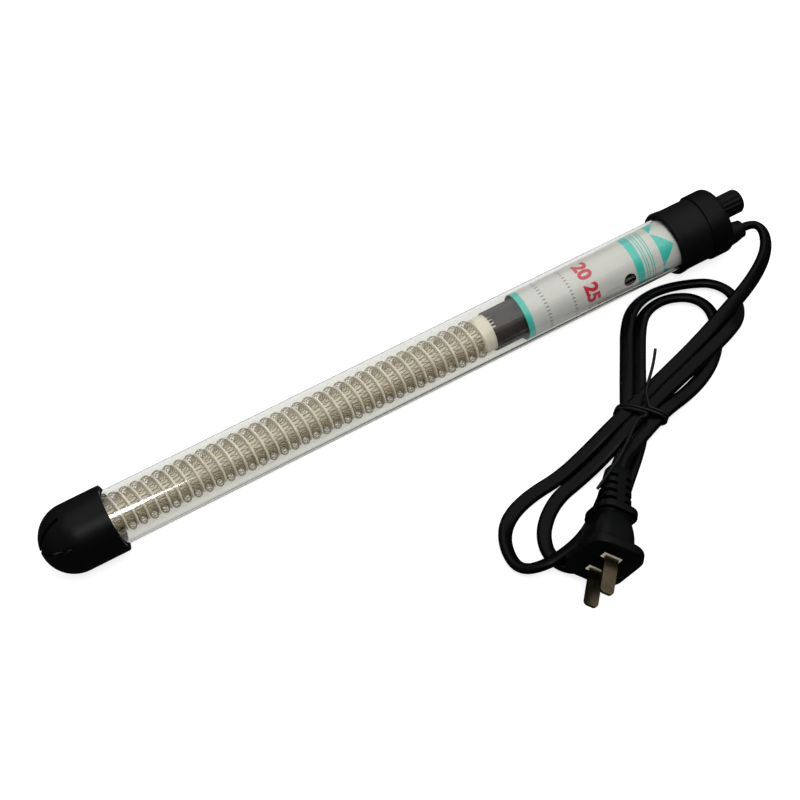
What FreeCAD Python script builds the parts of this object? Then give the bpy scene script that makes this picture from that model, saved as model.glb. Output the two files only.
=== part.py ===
"""Submersible aquarium heater: glass tube, wound ceramic core, thermostat head, lead and plug.

The tube lies along X with its knob at +X, on the floor z = 0, and the origin is under its middle.
Everything that fits something else takes its size and place from the same named sizes.
"""
import FreeCAD
import Part
import Sketcher
import math
import os

from FreeCAD import Placement, Rotation, Vector

os.makedirs("parts", exist_ok=True)
doc = FreeCAD.newDocument("aquarium_heater")

# Driving dimensions, in millimetres, degrees and counts
SIZES = {
    # the heater on its floor
    "foot_x": -174.9,
    # how far a cutter reaches past a face, and a joined block into its neighbour
    "past": 1.0,
    # least gap of a wound or coiled piece to itself
    "least_gap": 0.4,
    # glass tube
    "glass_diameter": 25.0,
    "glass_wall": 1.2,
    "glass_length": 326.0,
    # foot guard
    "guard_length": 33.9,
    "guard_grip": 12.0,
    "guard_play": 0.3,
    "guard_wall": 2.7,
    "guard_nose_gap": 4.4,
    "guard_slot_width": 1.6,
    "guard_slot_reach": 16.0,
    "guard_slot_depth": 11.0,
    "guard_slot_count": 3,
    "guard_slot_turn": 46.0,
    # ceramic core and its winding
    "pad_length": 3.0,
    "pad_depth": 6.0,
    "core_length": 202.0,
    "core_radius": 5.9,
    "core_bore_radius": 2.0,
    "collar_radius": 8.2,
    "collar_length": 10.5,
    "foot_collar_length": 5.5,
    "core_notch_width": 3.4,
    "winding_wire": 2.9,
    "winding_turns": 24,
    "winding_gap": 1.5,
    "winding_lift": 0.01,
    "winding_turn": 5.0,
    "lead_wire": 1.2,
    "lead_wire_bend": 1.6,
    "return_step": 1.4,
    "wire_play": 0.1,
    # insulating sleeve between core and thermostat
    "sleeve_wall": 0.8,
    "sleeve_length": 19.0,
    "sleeve_lap": 6.0,
    "sleeve_notch_depth": 2.6,
    "sleeve_notch_width": 6.0,
    # label and thermostat frame
    "label_play": 0.5,
    "label_sheet": 0.3,
    "label_lap": 4.3,
    "window_radius": 2.4,
    "window_from_mouth": 47.7,
    "window_turn": 69.0,
    "disc_length": 3.0,
    "frame_web_half_width": 8.6,
    "frame_web_thickness": 2.4,
    "frame_web_drop": 3.2,
    "frame_wall_side": 8.2,
    "frame_wall_rise": 4.6,
    "frame_wire_notch": 12.0,
    "frame_wire_notch_side": 3.7,
    "frame_ramp_recess": 0.5,
    # stopper, rubber sleeve and cap
    "stopper_depth": 10.0,
    "stopper_flange": 2.5,
    "rubber_wall": 1.9,
    "rubber_length": 23.5,
    "lip_swell": 0.5,
    "lip_round": 1.5,
    "lip_flat": 2.0,
    "lip_length": 5.0,
    "cap_wall": 0.8,
    "cap_length": 11.0,
    "cap_end_wall": 3.0,
    "cap_edge": 2.0,
    # spindle, its seal and the knob
    "spindle_y": 3.8,
    "spindle_radius": 1.5,
    "spindle_play": 0.05,
    "spindle_shoulder": 1.0,
    "bush_radius": 3.2,
    "bush_proud": 0.3,
    "seal_wire": 1.4,
    "seal_cut": 0.392,
    "knob_radius": 5.0,
    "knob_length": 14.0,
    "knob_gap": 0.5,
    "knob_edge": 0.8,
    "knob_rib_count": 18,
    "knob_rib_depth": 0.35,
    "knob_rib_foot": 1.5,
    "knob_socket_depth": 9.0,
    "knob_socket_spare": 0.3,
    # adjusting screw: its shank, the ramp on its end and the leaf's pip that rests on the ramp
    "screw_radius": 2.0,
    "screw_length": 26.0,
    "screw_flat": 1.2,
    "ramp_lead": 0.56,
    "ramp_span": 320.0,
    "ramp_inner_radius": 0.7,
    "ramp_radius": 3.2,
    "ramp_flange_radius": 3.3,
    "ramp_flange": 1.2,
    "ramp_sink": 0.1,
    "pip_radius": 0.35,
    "pip_height": 0.8,
    "pip_offset": 2.0,
    "pip_gap": 0.08,
    "socket_radius": 3.0,
    "socket_length": 9.0,
    "socket_spare": 1.5,
    "socket_wall": 1.5,
    "nut_radius": 3.4,
    "nut_length": 6.0,
    "nut_proud": 0.8,
    "nut_gap": 1.5,
    # leaf and bimetal
    "anchor_length": 8.0,
    "anchor_height": 5.2,
    "anchor_width": 3.4,
    "anchor_gap_from_disc": 3.0,
    "strip_slot_depth": 4.0,
    "strip_slot_lift": 0.15,
    "strip_root_gap": 0.3,
    "strip_root_play": 0.2,
    "strip_width": 5.0,
    "strip_lift": 0.3,
    "leaf_thickness": 0.3,
    "leaf_y": -6.2,
    "leaf_length": 31.2,
    "leaf_tab_past": 2.0,
    "bimetal_thickness": 0.6,
    "bimetal_y": -2.4,
    "bimetal_length": 28.0,
    "contact_radius": 1.3,
    "contact_from_root": 22.0,
    "contact_gap": 0.95,
    "magnet_length": 3.0,
    "magnet_width": 1.3,
    "magnet_height": 3.2,
    "magnet_gap": 0.75,
    "anchor_screw_radius": 1.0,
    "anchor_screw_edge": 0.8,
    "anchor_screw_point": 0.8,
    "anchor_screw_head": 0.8,
    "anchor_screw_head_radius": 1.6,
    # lamp
    "lamp_radius": 2.4,
    "lamp_length": 10.5,
    "lamp_offset": 7.2,
    "lamp_shift": 1.0,
    "lamp_post_length": 3.0,
    "lamp_post_width": 2.4,
    "lamp_seat_depth": 0.25,
    "lamp_seat_length": 6.0,
    "resistor_radius": 1.2,
    "resistor_length": 6.5,
    "resistor_gap": 2.0,
    "resistor_tail": 4.0,
    "fine_wire": 0.6,
    # lead at the head
    "gland_y": -9.9,
    "gland_radius": 3.9,
    "gland_tip_radius": 3.0,
    "gland_length": 6.5,
    "gland_shoulder": 1.2,
    "core_insulation": 1.7,
    "core_bend": 2.5,
    "live_drop": 0.8,
    "live_run_out": 2.0,
    "live_dive": 11.0,
    "live_shift": 3.1,
    "live_approach": 6.0,
    "neutral_rest": 0.02,
    "neutral_run_out": 1.5,
    "neutral_climb": 6.0,
    "neutral_cross": 9.0,
    "neutral_side": -3.0,
    "neutral_rise": 6.6,
    "core_spread": 1.3,
    "core_y": -8.7,
    # free lead: a flat 3.4 by 5.4 lead has the section of this round one
    "lead_diameter": 4.5,
    "tie_wire": 1.2,
    "tie_end_wire": 1.0,
    "tie_spacing": 2.0,
    "tie_ring_bend": 3.0,
    "tie_end_bend": 12.0,
    "tie_knot_height": 3.0,
    # plug
    "plug_face_width": 26.0,
    "plug_face_height": 32.0,
    "plug_face_corner": 8.0,
    "plug_face_thickness": 4.5,
    "plug_back_step_width": 6.0,
    "plug_back_step_height": 8.0,
    "plug_back_corner": 6.0,
    "plug_waist_width": 14.5,
    "plug_waist_height": 17.0,
    "plug_waist_corner": 5.0,
    "plug_waist_at": 14.0,
    "plug_shoulder_width": 18.0,
    "plug_shoulder_height": 21.0,
    "plug_shoulder_corner": 7.0,
    "plug_shoulder_at": 21.0,
    "plug_shoulder_length": 4.5,
    "relief_root_width": 12.0,
    "relief_root_height": 13.0,
    "relief_tip_width": 7.6,
    "relief_tip_height": 6.4,
    "relief_corner": 2.4,
    "plug_length": 47.0,
    "relief_slot_count": 4,
    "relief_slot_width": 1.6,
    "relief_slot_pitch": 4.2,
    "relief_slot_start": 2.2,
    "relief_slot_floor": 1.672,
    "relief_slot_height": 3.968,
    "blade_width": 6.3,
    "blade_thickness": 1.5,
    "blade_length": 17.5,
    "blade_root": 8.0,
    "blade_spacing": 12.7,
    "blade_corner": 1.89,
    "blade_seat_margin": 1.0,
    "blade_seat_proud": 0.25,
    "blade_seat_depth": 3.0,
    "plug_x": 22.0,
    "plug_y": -122.5,
    "plug_height": 17.4,
    "plug_yaw": 49.4,
    "plug_rise": 3.5,
    "plug_roll": 26.0,
}

# Sizes that follow others: the guard and the cap go round the glass and the rubber on it, the
# guard lies on the floor, the label fits in the glass, and the sleeve goes over the collar
FITTED = {
    "guard_rim_radius": "=glass_diameter / 2 + guard_wall",
    "axis_height": "=glass_diameter / 2 + guard_wall",
    "label_radius": "=glass_diameter / 2 - glass_wall - label_play",
    "sleeve_radius": "=collar_radius + sleeve_wall",
    "cap_radius": "=glass_diameter / 2 + rubber_wall + cap_wall",
}

sheet = doc.addObject("Spreadsheet::Sheet", "sizes")
for row, (alias, content) in enumerate({**SIZES, **FITTED}.items(), start=1):
    sheet.set("A%d" % row, alias)
    sheet.set("B%d" % row, str(content))
    sheet.setAlias("B%d" % row, alias)
doc.recompute()


def size(alias):
    """A driving dimension, as a number."""
    return float(getattr(sheet, alias))


def worked_out(expression):
    """The number that an expression over the sheet gives."""
    found = sheet.evalExpression(expression)
    return float(getattr(found, "Value", found))


# Stations along the tube, each written once over the sheet
GLASS_FOOT = "(sizes.foot_x + sizes.guard_nose_gap)"
GLASS_MOUTH = "(%s + sizes.glass_length)" % GLASS_FOOT
GLASS_R = "(sizes.glass_diameter / 2)"
BORE_R = "(sizes.glass_diameter / 2 - sizes.glass_wall)"
DOME_X = "(%s + %s)" % (GLASS_FOOT, GLASS_R)
GUARD_RIM = "(sizes.foot_x + sizes.guard_length)"
CORE_FOOT = "(%s + sizes.pad_length)" % DOME_X
CORE_HEAD = "(%s + sizes.core_length)" % CORE_FOOT
COLLAR_FOOT = "(%s - sizes.collar_length)" % CORE_HEAD
WINDING_FOOT = "(%s + sizes.foot_collar_length + sizes.winding_gap)" % CORE_FOOT
WINDING_R = "(sizes.core_radius + sizes.winding_wire / 2)"
WINDING_HEAD = "(%s - sizes.winding_gap)" % COLLAR_FOOT
WINDING_PITCH = "((%s - %s) / sizes.winding_turns)" % (WINDING_HEAD, WINDING_FOOT)
SLEEVE_FOOT = "(%s - sizes.sleeve_lap)" % CORE_HEAD
SLEEVE_HEAD = "(%s + sizes.sleeve_length)" % SLEEVE_FOOT
LABEL_FOOT = "(%s - sizes.label_lap)" % SLEEVE_HEAD
LABEL_BORE = "(sizes.label_radius - sizes.label_sheet)"
STOPPER_FOOT = "(%s - sizes.stopper_depth)" % GLASS_MOUTH
STOPPER_HEAD = "(%s + sizes.stopper_flange)" % GLASS_MOUTH
CAP_END = "(%s + sizes.cap_end_wall)" % STOPPER_HEAD
SEAM = "(%s - sizes.cap_length)" % CAP_END
RUBBER_LIP = "(%s - sizes.rubber_length)" % GLASS_MOUTH
RUBBER_R = "(%s + sizes.rubber_wall)" % GLASS_R
KNOB_FOOT = "(%s + sizes.knob_gap)" % CAP_END
KNOB_TIP = "(%s + sizes.knob_length)" % KNOB_FOOT
ANCHOR_FOOT = "(%s + sizes.disc_length + sizes.anchor_gap_from_disc)" % SLEEVE_HEAD
ANCHOR_HEAD = "(%s + sizes.anchor_length)" % ANCHOR_FOOT
ANCHOR_SCREW_X = "(%s + sizes.anchor_screw_radius + sizes.anchor_screw_edge)" % ANCHOR_FOOT
STRIP_ROOT = "(%s - sizes.strip_slot_depth + sizes.strip_root_gap)" % ANCHOR_HEAD
LEAF_TIP = "(%s + sizes.leaf_length)" % STRIP_ROOT
CONTACT_X = "(%s + sizes.contact_from_root)" % STRIP_ROOT
RAMP_X = "(%s + sizes.pip_height + sizes.pip_gap)" % LEAF_TIP
RAMP_RISE = "(sizes.ramp_lead * sizes.ramp_span / 360)"
FLANGE_FOOT = "(%s + %s / 2 + sizes.ramp_sink)" % (RAMP_X, RAMP_RISE)
SCREW_TAIL = "(%s + sizes.screw_length)" % RAMP_X
SOCKET_HEAD = "(%s + sizes.socket_spare + sizes.socket_wall)" % SCREW_TAIL
SOCKET_FOOT = "(%s - sizes.socket_length)" % SOCKET_HEAD
NUT_HEAD = "(%s - sizes.nut_gap)" % SOCKET_FOOT
NUT_FOOT = "(%s - sizes.nut_length)" % NUT_HEAD
WEB_TOP = "(sizes.axis_height - sizes.frame_web_drop)"
WEB_FLOOR = "(%s - sizes.frame_web_thickness)" % WEB_TOP
WINDOW_X = "(%s - sizes.window_from_mouth)" % GLASS_MOUTH


# Helpers: sketches whose every corner is an expression, and what is made from them

def new_body(label):
    """A body named as its node."""
    body = doc.addObject("PartDesign::Body", label)
    body.Label = label
    return body


def plane_of(body, role):
    """One of the body's own origin planes."""
    return next(f for f in body.Origin.OriginFeatures if f.Role == role)


def outline(body, name, role, corners, arcs=None, offset=None):
    """A closed sketch. corners are pairs of expressions; arcs maps an edge's number to the
    expressions of its centre, and whether it turns anticlockwise."""
    arcs = arcs or {}
    sketch = body.newObject("Sketcher::SketchObject", name)
    sketch.AttachmentSupport = (plane_of(body, role), [""])
    sketch.MapMode = "FlatFace"
    if offset:
        sketch.setExpression(".AttachmentOffset.Base.z", offset)
    points = [Vector(worked_out(x), worked_out(y), 0) for x, y in corners]
    count = len(points)
    for i, start in enumerate(points):
        end = points[(i + 1) % count]
        if i in arcs:
            centre_x, centre_y, anticlockwise = arcs[i]
            centre = Vector(worked_out(centre_x), worked_out(centre_y), 0)
            radius = (start - centre).Length
            first, last = (start, end) if anticlockwise else (end, start)
            angle0 = math.atan2(first.y - centre.y, first.x - centre.x)
            angle1 = math.atan2(last.y - centre.y, last.x - centre.x)
            circle = Part.Circle(centre, Vector(0, 0, 1), radius)
            sketch.addGeometry(Part.ArcOfCircle(circle, angle0, angle1), False)
        else:
            sketch.addGeometry(Part.LineSegment(start, end), False)
    for i in range(count):
        start_point, end_point = ends_of(i, arcs)
        next_start = ends_of((i + 1) % count, arcs)[0]
        sketch.addConstraint(held("Coincident", i, end_point, (i + 1) % count, next_start))
        bind_point(sketch, i, start_point, corners[i], points[i], "corner%d" % i)
    for i, (centre_x, centre_y, anticlockwise) in arcs.items():
        start = points[i]
        end = points[(i + 1) % count]
        along_x = abs(end.x - start.x) < abs(end.y - start.y)
        kind = "DistanceX" if along_x else "DistanceY"
        wanted = centre_x if along_x else centre_y
        bind_coordinate(sketch, kind, i, 3, wanted, "centre%d" % i)
    return sketch


def held(kind, *values):
    """A sketch constraint."""
    return Sketcher.Constraint(kind, *values)


def ends_of(edge, arcs):
    """Which end of an edge comes first round the outline: an arc is stored anticlockwise."""
    if edge in arcs and not arcs[edge][2]:
        return 2, 1
    return 1, 2


def bind_coordinate(sketch, kind, edge, point, expression, name):
    """Hold one coordinate of a point at what an expression gives."""
    if expression == "0":
        axis = -2 if kind == "DistanceX" else -1
        sketch.addConstraint(held("PointOnObject", edge, point, axis))
        return
    value = worked_out(expression)
    index = sketch.addConstraint(held(kind, -1, 1, edge, point, value))
    sketch.renameConstraint(index, name)
    sketch.setExpression("Constraints." + name, expression)


def bind_point(sketch, edge, point, corner, place, name):
    """Hold both coordinates of a corner."""
    bind_coordinate(sketch, "DistanceX", edge, point, corner[0], name + "x")
    bind_coordinate(sketch, "DistanceY", edge, point, corner[1], name + "y")


def revolve(body, sketch, name):
    """Turn a profile once round the X axis of its sketch."""
    turned = body.newObject("PartDesign::Revolution", name)
    turned.Profile = sketch
    turned.ReferenceAxis = (sketch, ["H_Axis"])
    turned.Angle = 360
    return turned


def pad(body, sketch, name, length, midplane=False, back=False):
    """Raise a sketch by a length."""
    raised = body.newObject("PartDesign::Pad", name)
    raised.Profile = sketch
    raised.Midplane = midplane
    raised.Reversed = back
    raised.setExpression("Length", length)
    return raised


def pocket(body, sketch, name, length, midplane=False, back=False):
    """Cut a sketch out of the body, and make sure that it cuts."""
    doc.recompute()
    before = body.Tip.Shape.Volume
    cut = body.newObject("PartDesign::Pocket", name)
    cut.Profile = sketch
    cut.Midplane = midplane
    cut.Reversed = back
    cut.setExpression("Length", length)
    doc.recompute()
    need(cut.Shape.Volume < before - 1e-6, body.Label + " " + name + " cuts nothing")
    return cut


def polar(body, feature, sketch, name, count):
    """Repeat a feature round the X axis."""
    around = body.newObject("PartDesign::PolarPattern", name)
    around.Originals = [feature]
    around.Axis = (sketch, ["H_Axis"])
    around.Angle = 360
    around.setExpression("Occurrences", count)
    body.Tip = around
    return around


def need(true_fact, message):
    """Stop with a plain message when something isn't as it should be."""
    if not true_fact:
        raise RuntimeError(message)


def lift_to_axis(thing, y="0", turn=None):
    """Put a piece drawn round X onto the tube's axis, beside it by y, turned about it."""
    if turn:
        spin = Rotation(Vector(1, 0, 0), worked_out(turn))
        thing.Placement = Placement(Vector(0, 0, 0), spin)
    thing.setExpression(".Placement.Base.z", "sizes.axis_height")
    if y != "0":
        thing.setExpression(".Placement.Base.y", y)


def turned_piece(label, corners, arcs=None, y="0"):
    """A body of revolution about the tube's axis, or a line beside it."""
    body = new_body(label)
    sketch = outline(body, label + "_profile", "XZ_Plane", corners, arcs)
    revolve(body, sketch, label + "_turned")
    lift_to_axis(body, y)
    return body


def ring_corners(foot, head, inner, outer):
    """The profile of a plain ring or tube."""
    return [(foot, inner), (head, inner), (head, outer), (foot, outer)]


def box(label, low, high):
    """A Part box between two corners, each three expressions."""
    block = doc.addObject("Part::Box", label)
    for axis, side, low_side, high_side in zip("xyz", ("Length", "Width", "Height"), low, high):
        block.setExpression(".Placement.Base." + axis, low_side)
        block.setExpression(side, "(%s) - (%s)" % (high_side, low_side))
    return block


def rod(label, foot, length, radius, y, z):
    """A Part cylinder along X."""
    bar = doc.addObject("Part::Cylinder", label)
    bar.Placement = Placement(Vector(0, 0, 0), Rotation(Vector(0, 1, 0), 90))
    bar.setExpression("Radius", radius)
    bar.setExpression("Height", length)
    bar.setExpression(".Placement.Base.x", foot)
    bar.setExpression(".Placement.Base.y", y)
    bar.setExpression(".Placement.Base.z", z)
    return bar


def cut_away(label, base, tool):
    """base without tool, as a named piece."""
    cut = doc.addObject("Part::Cut", label)
    cut.Base = base
    cut.Tool = tool
    return cut


def joined(label, pieces):
    """Several solids as one named piece."""
    whole = doc.addObject("Part::MultiFuse", label)
    whole.Shapes = pieces
    return whole


def made(label, shape):
    """A piece whose shape Part's own functions made."""
    piece = doc.addObject("Part::Feature", label)
    piece.Shape = shape
    return piece


def bent_path(points, bend=None):
    """Straight runs joined by tangent arcs, and the arcs' radii. A bend radius is given for a
    wire, and a free lead takes the largest that its runs allow."""
    edges = []
    radii = []
    start = points[0]
    for before, corner, after in zip(points, points[1:], points[2:]):
        into = (corner - before).normalize()
        out = (after - corner).normalize()
        turn = into.getAngle(out)
        shorter = min((corner - before).Length, (after - corner).Length)
        radius = 0.45 * shorter / math.tan(turn / 2)
        if bend:
            radius = min(bend, radius)
        radii.append(radius)
        reach = radius * math.tan(turn / 2)
        first = corner - into * reach
        last = corner + out * reach
        inward = (out - into).normalize()
        middle = corner + inward * (radius / math.cos(turn / 2) - radius)
        edges.append(Part.LineSegment(start, first).toShape())
        edges.append(Part.Arc(first, middle, last).toShape())
        start = last
    edges.append(Part.LineSegment(start, points[-1]).toShape())
    return Part.Wire(edges), radii


def many_sided(start, along, outward, radius, sides):
    """A regular outline square to a path, one corner outward."""
    side = along.cross(outward)
    corners = []
    for i in range(sides):
        angle = 2 * math.pi * i / sides
        corners.append(start + (outward * math.cos(angle) + side * math.sin(angle)) * radius)
    return Part.makePolygon(corners + corners[:1])


def tube_along(path, radius, sides=6):
    """A many-sided solid along a path, checked against its section times its length."""
    first = path.Edges[0]
    start = first.valueAt(first.FirstParameter)
    along = first.tangentAt(first.FirstParameter).normalize()
    upright = Vector(0, 0, 1) if abs(along.z) < 0.9 else Vector(1, 0, 0)
    outward = (upright - along * upright.dot(along)).normalize()
    section = many_sided(start, along, outward, radius, sides)
    solid = path.makePipeShell([section], True, False)
    expected = Part.Face(section).Area * path.Length
    need(abs(solid.Volume / expected - 1) < 0.01, "a tube's volume isn't its section times its length")
    return solid


# Glass tube with its round foot
def glass_tube():
    corners = [
        (GLASS_FOOT, "0"),
        (DOME_X, GLASS_R),
        (GLASS_MOUTH, GLASS_R),
        (GLASS_MOUTH, BORE_R),
        (DOME_X, BORE_R),
        ("%s + sizes.glass_wall" % GLASS_FOOT, "0"),
    ]
    arcs = {0: (DOME_X, "0", False), 4: (DOME_X, "0", True)}
    return turned_piece("glass_tube", corners, arcs)


# Foot guard: a gripping ring and a round dome, cut right across its pole three times
def foot_guard():
    body = new_body("foot_guard")
    inside = "(%s + sizes.guard_play)" % GLASS_R
    grip_end = "(%s - sizes.guard_grip)" % GUARD_RIM
    dome_centre = "(sizes.foot_x + sizes.guard_rim_radius)"
    corners = [
        ("sizes.foot_x", "0"),
        (dome_centre, "sizes.guard_rim_radius"),
        (GUARD_RIM, "sizes.guard_rim_radius"),
        (GUARD_RIM, GLASS_R),
        (grip_end, GLASS_R),
        (grip_end, inside),
        (DOME_X, inside),
        ("%s - %s" % (DOME_X, inside), "0"),
    ]
    arcs = {0: (dome_centre, "0", False), 6: (DOME_X, "0", True)}
    profile = outline(body, "guard_profile", "XZ_Plane", corners, arcs)
    revolve(body, profile, "guard_turned")
    doc.recompute()
    slot_corners = [
        ("sizes.foot_x - sizes.past", "-sizes.guard_slot_reach"),
        ("sizes.foot_x + sizes.guard_slot_depth", "-sizes.guard_slot_reach"),
        ("sizes.foot_x + sizes.guard_slot_depth", "sizes.guard_slot_reach"),
        ("sizes.foot_x - sizes.past", "sizes.guard_slot_reach"),
    ]
    slot = outline(body, "guard_slot", "XZ_Plane", slot_corners)
    cut = pocket(body, slot, "guard_slot_cut", "sizes.guard_slot_width", midplane=True)
    polar(body, cut, slot, "guard_slots", "sizes.guard_slot_count")
    lift_to_axis(body, turn="sizes.guard_slot_turn")


# Ceramic core, its helical ridge and the winding in the groove
def around(angle, radius, x):
    """A point round the tube's axis. The angle starts at the top and turns towards -Y."""
    height = size("axis_height")
    return Vector(x, -radius * math.sin(angle), height + radius * math.cos(angle))


def helix_point(phase, radius, start_x, pitch):
    return around(phase, radius, start_x + pitch * phase / (2 * math.pi))


def helix_heading(phase, radius, pitch):
    heading = Vector(pitch / (2 * math.pi), -radius * math.cos(phase), -radius * math.sin(phase))
    return heading.normalize()


def arc_from(start, heading, end):
    """The arc that leaves start along heading and reaches end."""
    chord = end - start
    half_turn = heading.getAngle(chord)
    radius = chord.Length / (2 * math.sin(half_turn))
    outward = (heading - chord * (heading.dot(chord) / chord.Length ** 2)).normalize()
    middle = (start + end) * 0.5 + outward * (radius * (1 - math.cos(half_turn)))
    return Part.Arc(start, middle, end).toShape()


def helix_path(radius, start_x, pitch, turns, start_phase=0.0, steps_per_turn=2):
    """A helix about the tube's axis, as a pair of arcs for each half turn."""
    edges = []
    step = 2 * math.pi / steps_per_turn
    for i in range(int(round(turns * steps_per_turn))):
        phase = start_phase + i * step
        shifted = start_x - pitch * start_phase / (2 * math.pi)
        p0 = helix_point(phase, radius, shifted, pitch)
        p1 = helix_point(phase + step, radius, shifted, pitch)
        t0 = helix_heading(phase, radius, pitch)
        t1 = helix_heading(phase + step, radius, pitch)
        across = p1 - p0
        both = t0 + t1
        spread = 2 * (1 - t0.dot(t1))
        reach = across.dot(both)
        length = (math.sqrt(reach ** 2 + spread * across.dot(across)) - reach) / spread
        control0 = p0 + t0 * length
        control1 = p1 - t1 * length
        middle = (control0 + control1) * 0.5
        edges.append(arc_from(p0, t0, middle))
        edges.append(arc_from(middle, (control1 - control0).normalize(), p1))
    return Part.Wire(edges)


def winding_phase():
    """Where the winding starts and ends, in line with the notch that faces up."""
    return math.radians(size("winding_turn"))


def heating_coil():
    wire = size("winding_wire")
    radius = worked_out(WINDING_R) + size("winding_lift")
    turns = int(size("winding_turns"))
    path = helix_path(radius, worked_out(WINDING_FOOT), worked_out(WINDING_PITCH), turns, winding_phase())
    solid = tube_along(path, wire / 2, sides=4)
    points = path.discretize(Number=turns * 24 + 1)
    gap = min(points[i].distanceToPoint(points[j])
              for i in range(len(points)) for j in range(i + 18, min(i + 31, len(points)))) - wire
    print("winding: turns", turns, "least gap to itself", round(gap, 2), "mm")
    need(gap > size("least_gap"), "the winding's turns touch")
    return made("heating_coil", solid)


def ceramic_core():
    body = new_body("ceramic_core")
    bore = "sizes.core_bore_radius"
    foot_collar = "%s + sizes.foot_collar_length" % CORE_FOOT
    corners = [
        (CORE_FOOT, bore),
        (CORE_HEAD, bore),
        (CORE_HEAD, "sizes.collar_radius"),
        (COLLAR_FOOT, "sizes.collar_radius"),
        (COLLAR_FOOT, "sizes.core_radius"),
        (foot_collar, "sizes.core_radius"),
        (foot_collar, "sizes.collar_radius"),
        (CORE_FOOT, "sizes.collar_radius"),
    ]
    profile = outline(body, "core_profile", "XZ_Plane", corners)
    revolve(body, profile, "core_turned")
    doc.recompute()
    notch_corners = [
        ("%s - sizes.past" % COLLAR_FOOT, "sizes.core_radius"),
        ("%s + sizes.past" % CORE_HEAD, "sizes.core_radius"),
        ("%s + sizes.past" % CORE_HEAD, "sizes.collar_radius + sizes.past"),
        ("%s - sizes.past" % COLLAR_FOOT, "sizes.collar_radius + sizes.past"),
    ]
    notch = outline(body, "core_notch", "XZ_Plane", notch_corners)
    pocket(body, notch, "core_notch_cut", "sizes.core_notch_width", midplane=True)
    hole_corners = [
        ("%s - sizes.lead_wire" % WINDING_FOOT, "0"),
        ("%s + sizes.lead_wire" % WINDING_FOOT, "0"),
        ("%s + sizes.lead_wire" % WINDING_FOOT, "sizes.collar_radius"),
        ("%s - sizes.lead_wire" % WINDING_FOOT, "sizes.collar_radius"),
    ]
    hole = outline(body, "core_lead_hole", "XZ_Plane", hole_corners)
    pocket(body, hole, "core_lead_hole_cut", "2 * sizes.lead_wire", midplane=True)
    lift_to_axis(body, turn="sizes.winding_turn")


# Cushion that the core stands on in the tube's foot
def foot_pad():
    reach = math.sqrt(worked_out(BORE_R) ** 2 - size("pad_depth") ** 2)
    foot = "%s - sizes.pad_depth" % DOME_X
    corners = [
        (foot, "0"),
        (foot, repr(reach)),
        (DOME_X, BORE_R),
        (CORE_FOOT, BORE_R),
        (CORE_FOOT, "0"),
    ]
    return turned_piece("foot_pad", corners, {1: (DOME_X, "0", False)})


# Wires that run straight or with small bends
def wire(label, points, diameter, bend):
    path = bent_path(points, bend)[0]
    return made(label, tube_along(path, diameter / 2))


def return_lead():
    """From the winding's foot end through the core to the bimetal's anchor."""
    thick = size("lead_wire")
    x = worked_out(WINDING_FOOT)
    top = around(winding_phase(), size("core_radius") + size("lead_wire") / 4, x)
    centre = around(0, 0, x)
    end = worked_out(ANCHOR_FOOT)
    height = size("axis_height")
    aside = size("bimetal_y") + size("anchor_width") / 4
    step = size("return_step")
    points = [
        top,
        centre,
        Vector(end - 2 * step, 0, height),
        Vector(end - step, aside, height),
        Vector(end, aside, height),
    ]
    return wire("return_lead", points, thick, size("lead_wire_bend"))


def winding_lead():
    """From the winding's head end along the collar's notch to the neutral wire."""
    thick = size("lead_wire")
    radius = size("core_radius") + size("winding_wire") / 2
    start = around(winding_phase(), radius, worked_out(WINDING_HEAD))
    end = around(winding_phase(), radius, worked_out(ANCHOR_FOOT))
    path = Part.Wire([Part.LineSegment(start, end).toShape()])
    return made("winding_lead", tube_along(path, thick / 2))


# Sleeve between the core and the thermostat, notched where the lead comes out
def insulating_sleeve():
    body = new_body("insulating_sleeve")
    corners = ring_corners(SLEEVE_FOOT, SLEEVE_HEAD, "sizes.collar_radius", "sizes.sleeve_radius")
    profile = outline(body, "sleeve_profile", "XZ_Plane", corners)
    revolve(body, profile, "sleeve_turned")
    doc.recompute()
    notch_corners = [
        ("%s - sizes.past" % SLEEVE_FOOT, "0"),
        ("%s + sizes.sleeve_notch_depth" % SLEEVE_FOOT, "0"),
        ("%s + sizes.sleeve_notch_depth" % SLEEVE_FOOT, "sizes.sleeve_radius + sizes.past"),
        ("%s - sizes.past" % SLEEVE_FOOT, "sizes.sleeve_radius + sizes.past"),
    ]
    notch = outline(body, "sleeve_notch", "XZ_Plane", notch_corners)
    pocket(body, notch, "sleeve_notch_cut", "sizes.sleeve_notch_width", midplane=True)
    lift_to_axis(body, turn="sizes.winding_turn")


# Rolled label with the round window over the lamp
def label_liner():
    body = new_body("label_liner")
    corners = ring_corners(LABEL_FOOT, STOPPER_FOOT, LABEL_BORE, "sizes.label_radius")
    profile = outline(body, "label_profile", "XZ_Plane", corners)
    revolve(body, profile, "label_rolled")
    doc.recompute()
    window = body.newObject("Sketcher::SketchObject", "label_window")
    window.AttachmentSupport = (plane_of(body, "XY_Plane"), [""])
    window.MapMode = "FlatFace"
    centre = Vector(worked_out(WINDOW_X), 0, 0)
    window.addGeometry(Part.Circle(centre, Vector(0, 0, 1), size("window_radius")), False)
    bind_coordinate(window, "DistanceX", 0, 3, WINDOW_X, "window_x")
    window.addConstraint(held("PointOnObject", 0, 3, -1))
    radius = window.addConstraint(held("Radius", 0, size("window_radius")))
    window.renameConstraint(radius, "window_radius")
    window.setExpression("Constraints.window_radius", "sizes.window_radius")
    pocket(body, window, "label_window_cut", "sizes.label_radius + sizes.past", back=True)
    lift_to_axis(body, turn="sizes.window_turn")


# Frame of the thermostat: two discs, a web and the wall that holds the screw's bush
def frame_disc(name, foot, head):
    return rod(name, foot, "(%s) - (%s)" % (head, foot), LABEL_BORE, "0", "sizes.axis_height")


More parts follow.
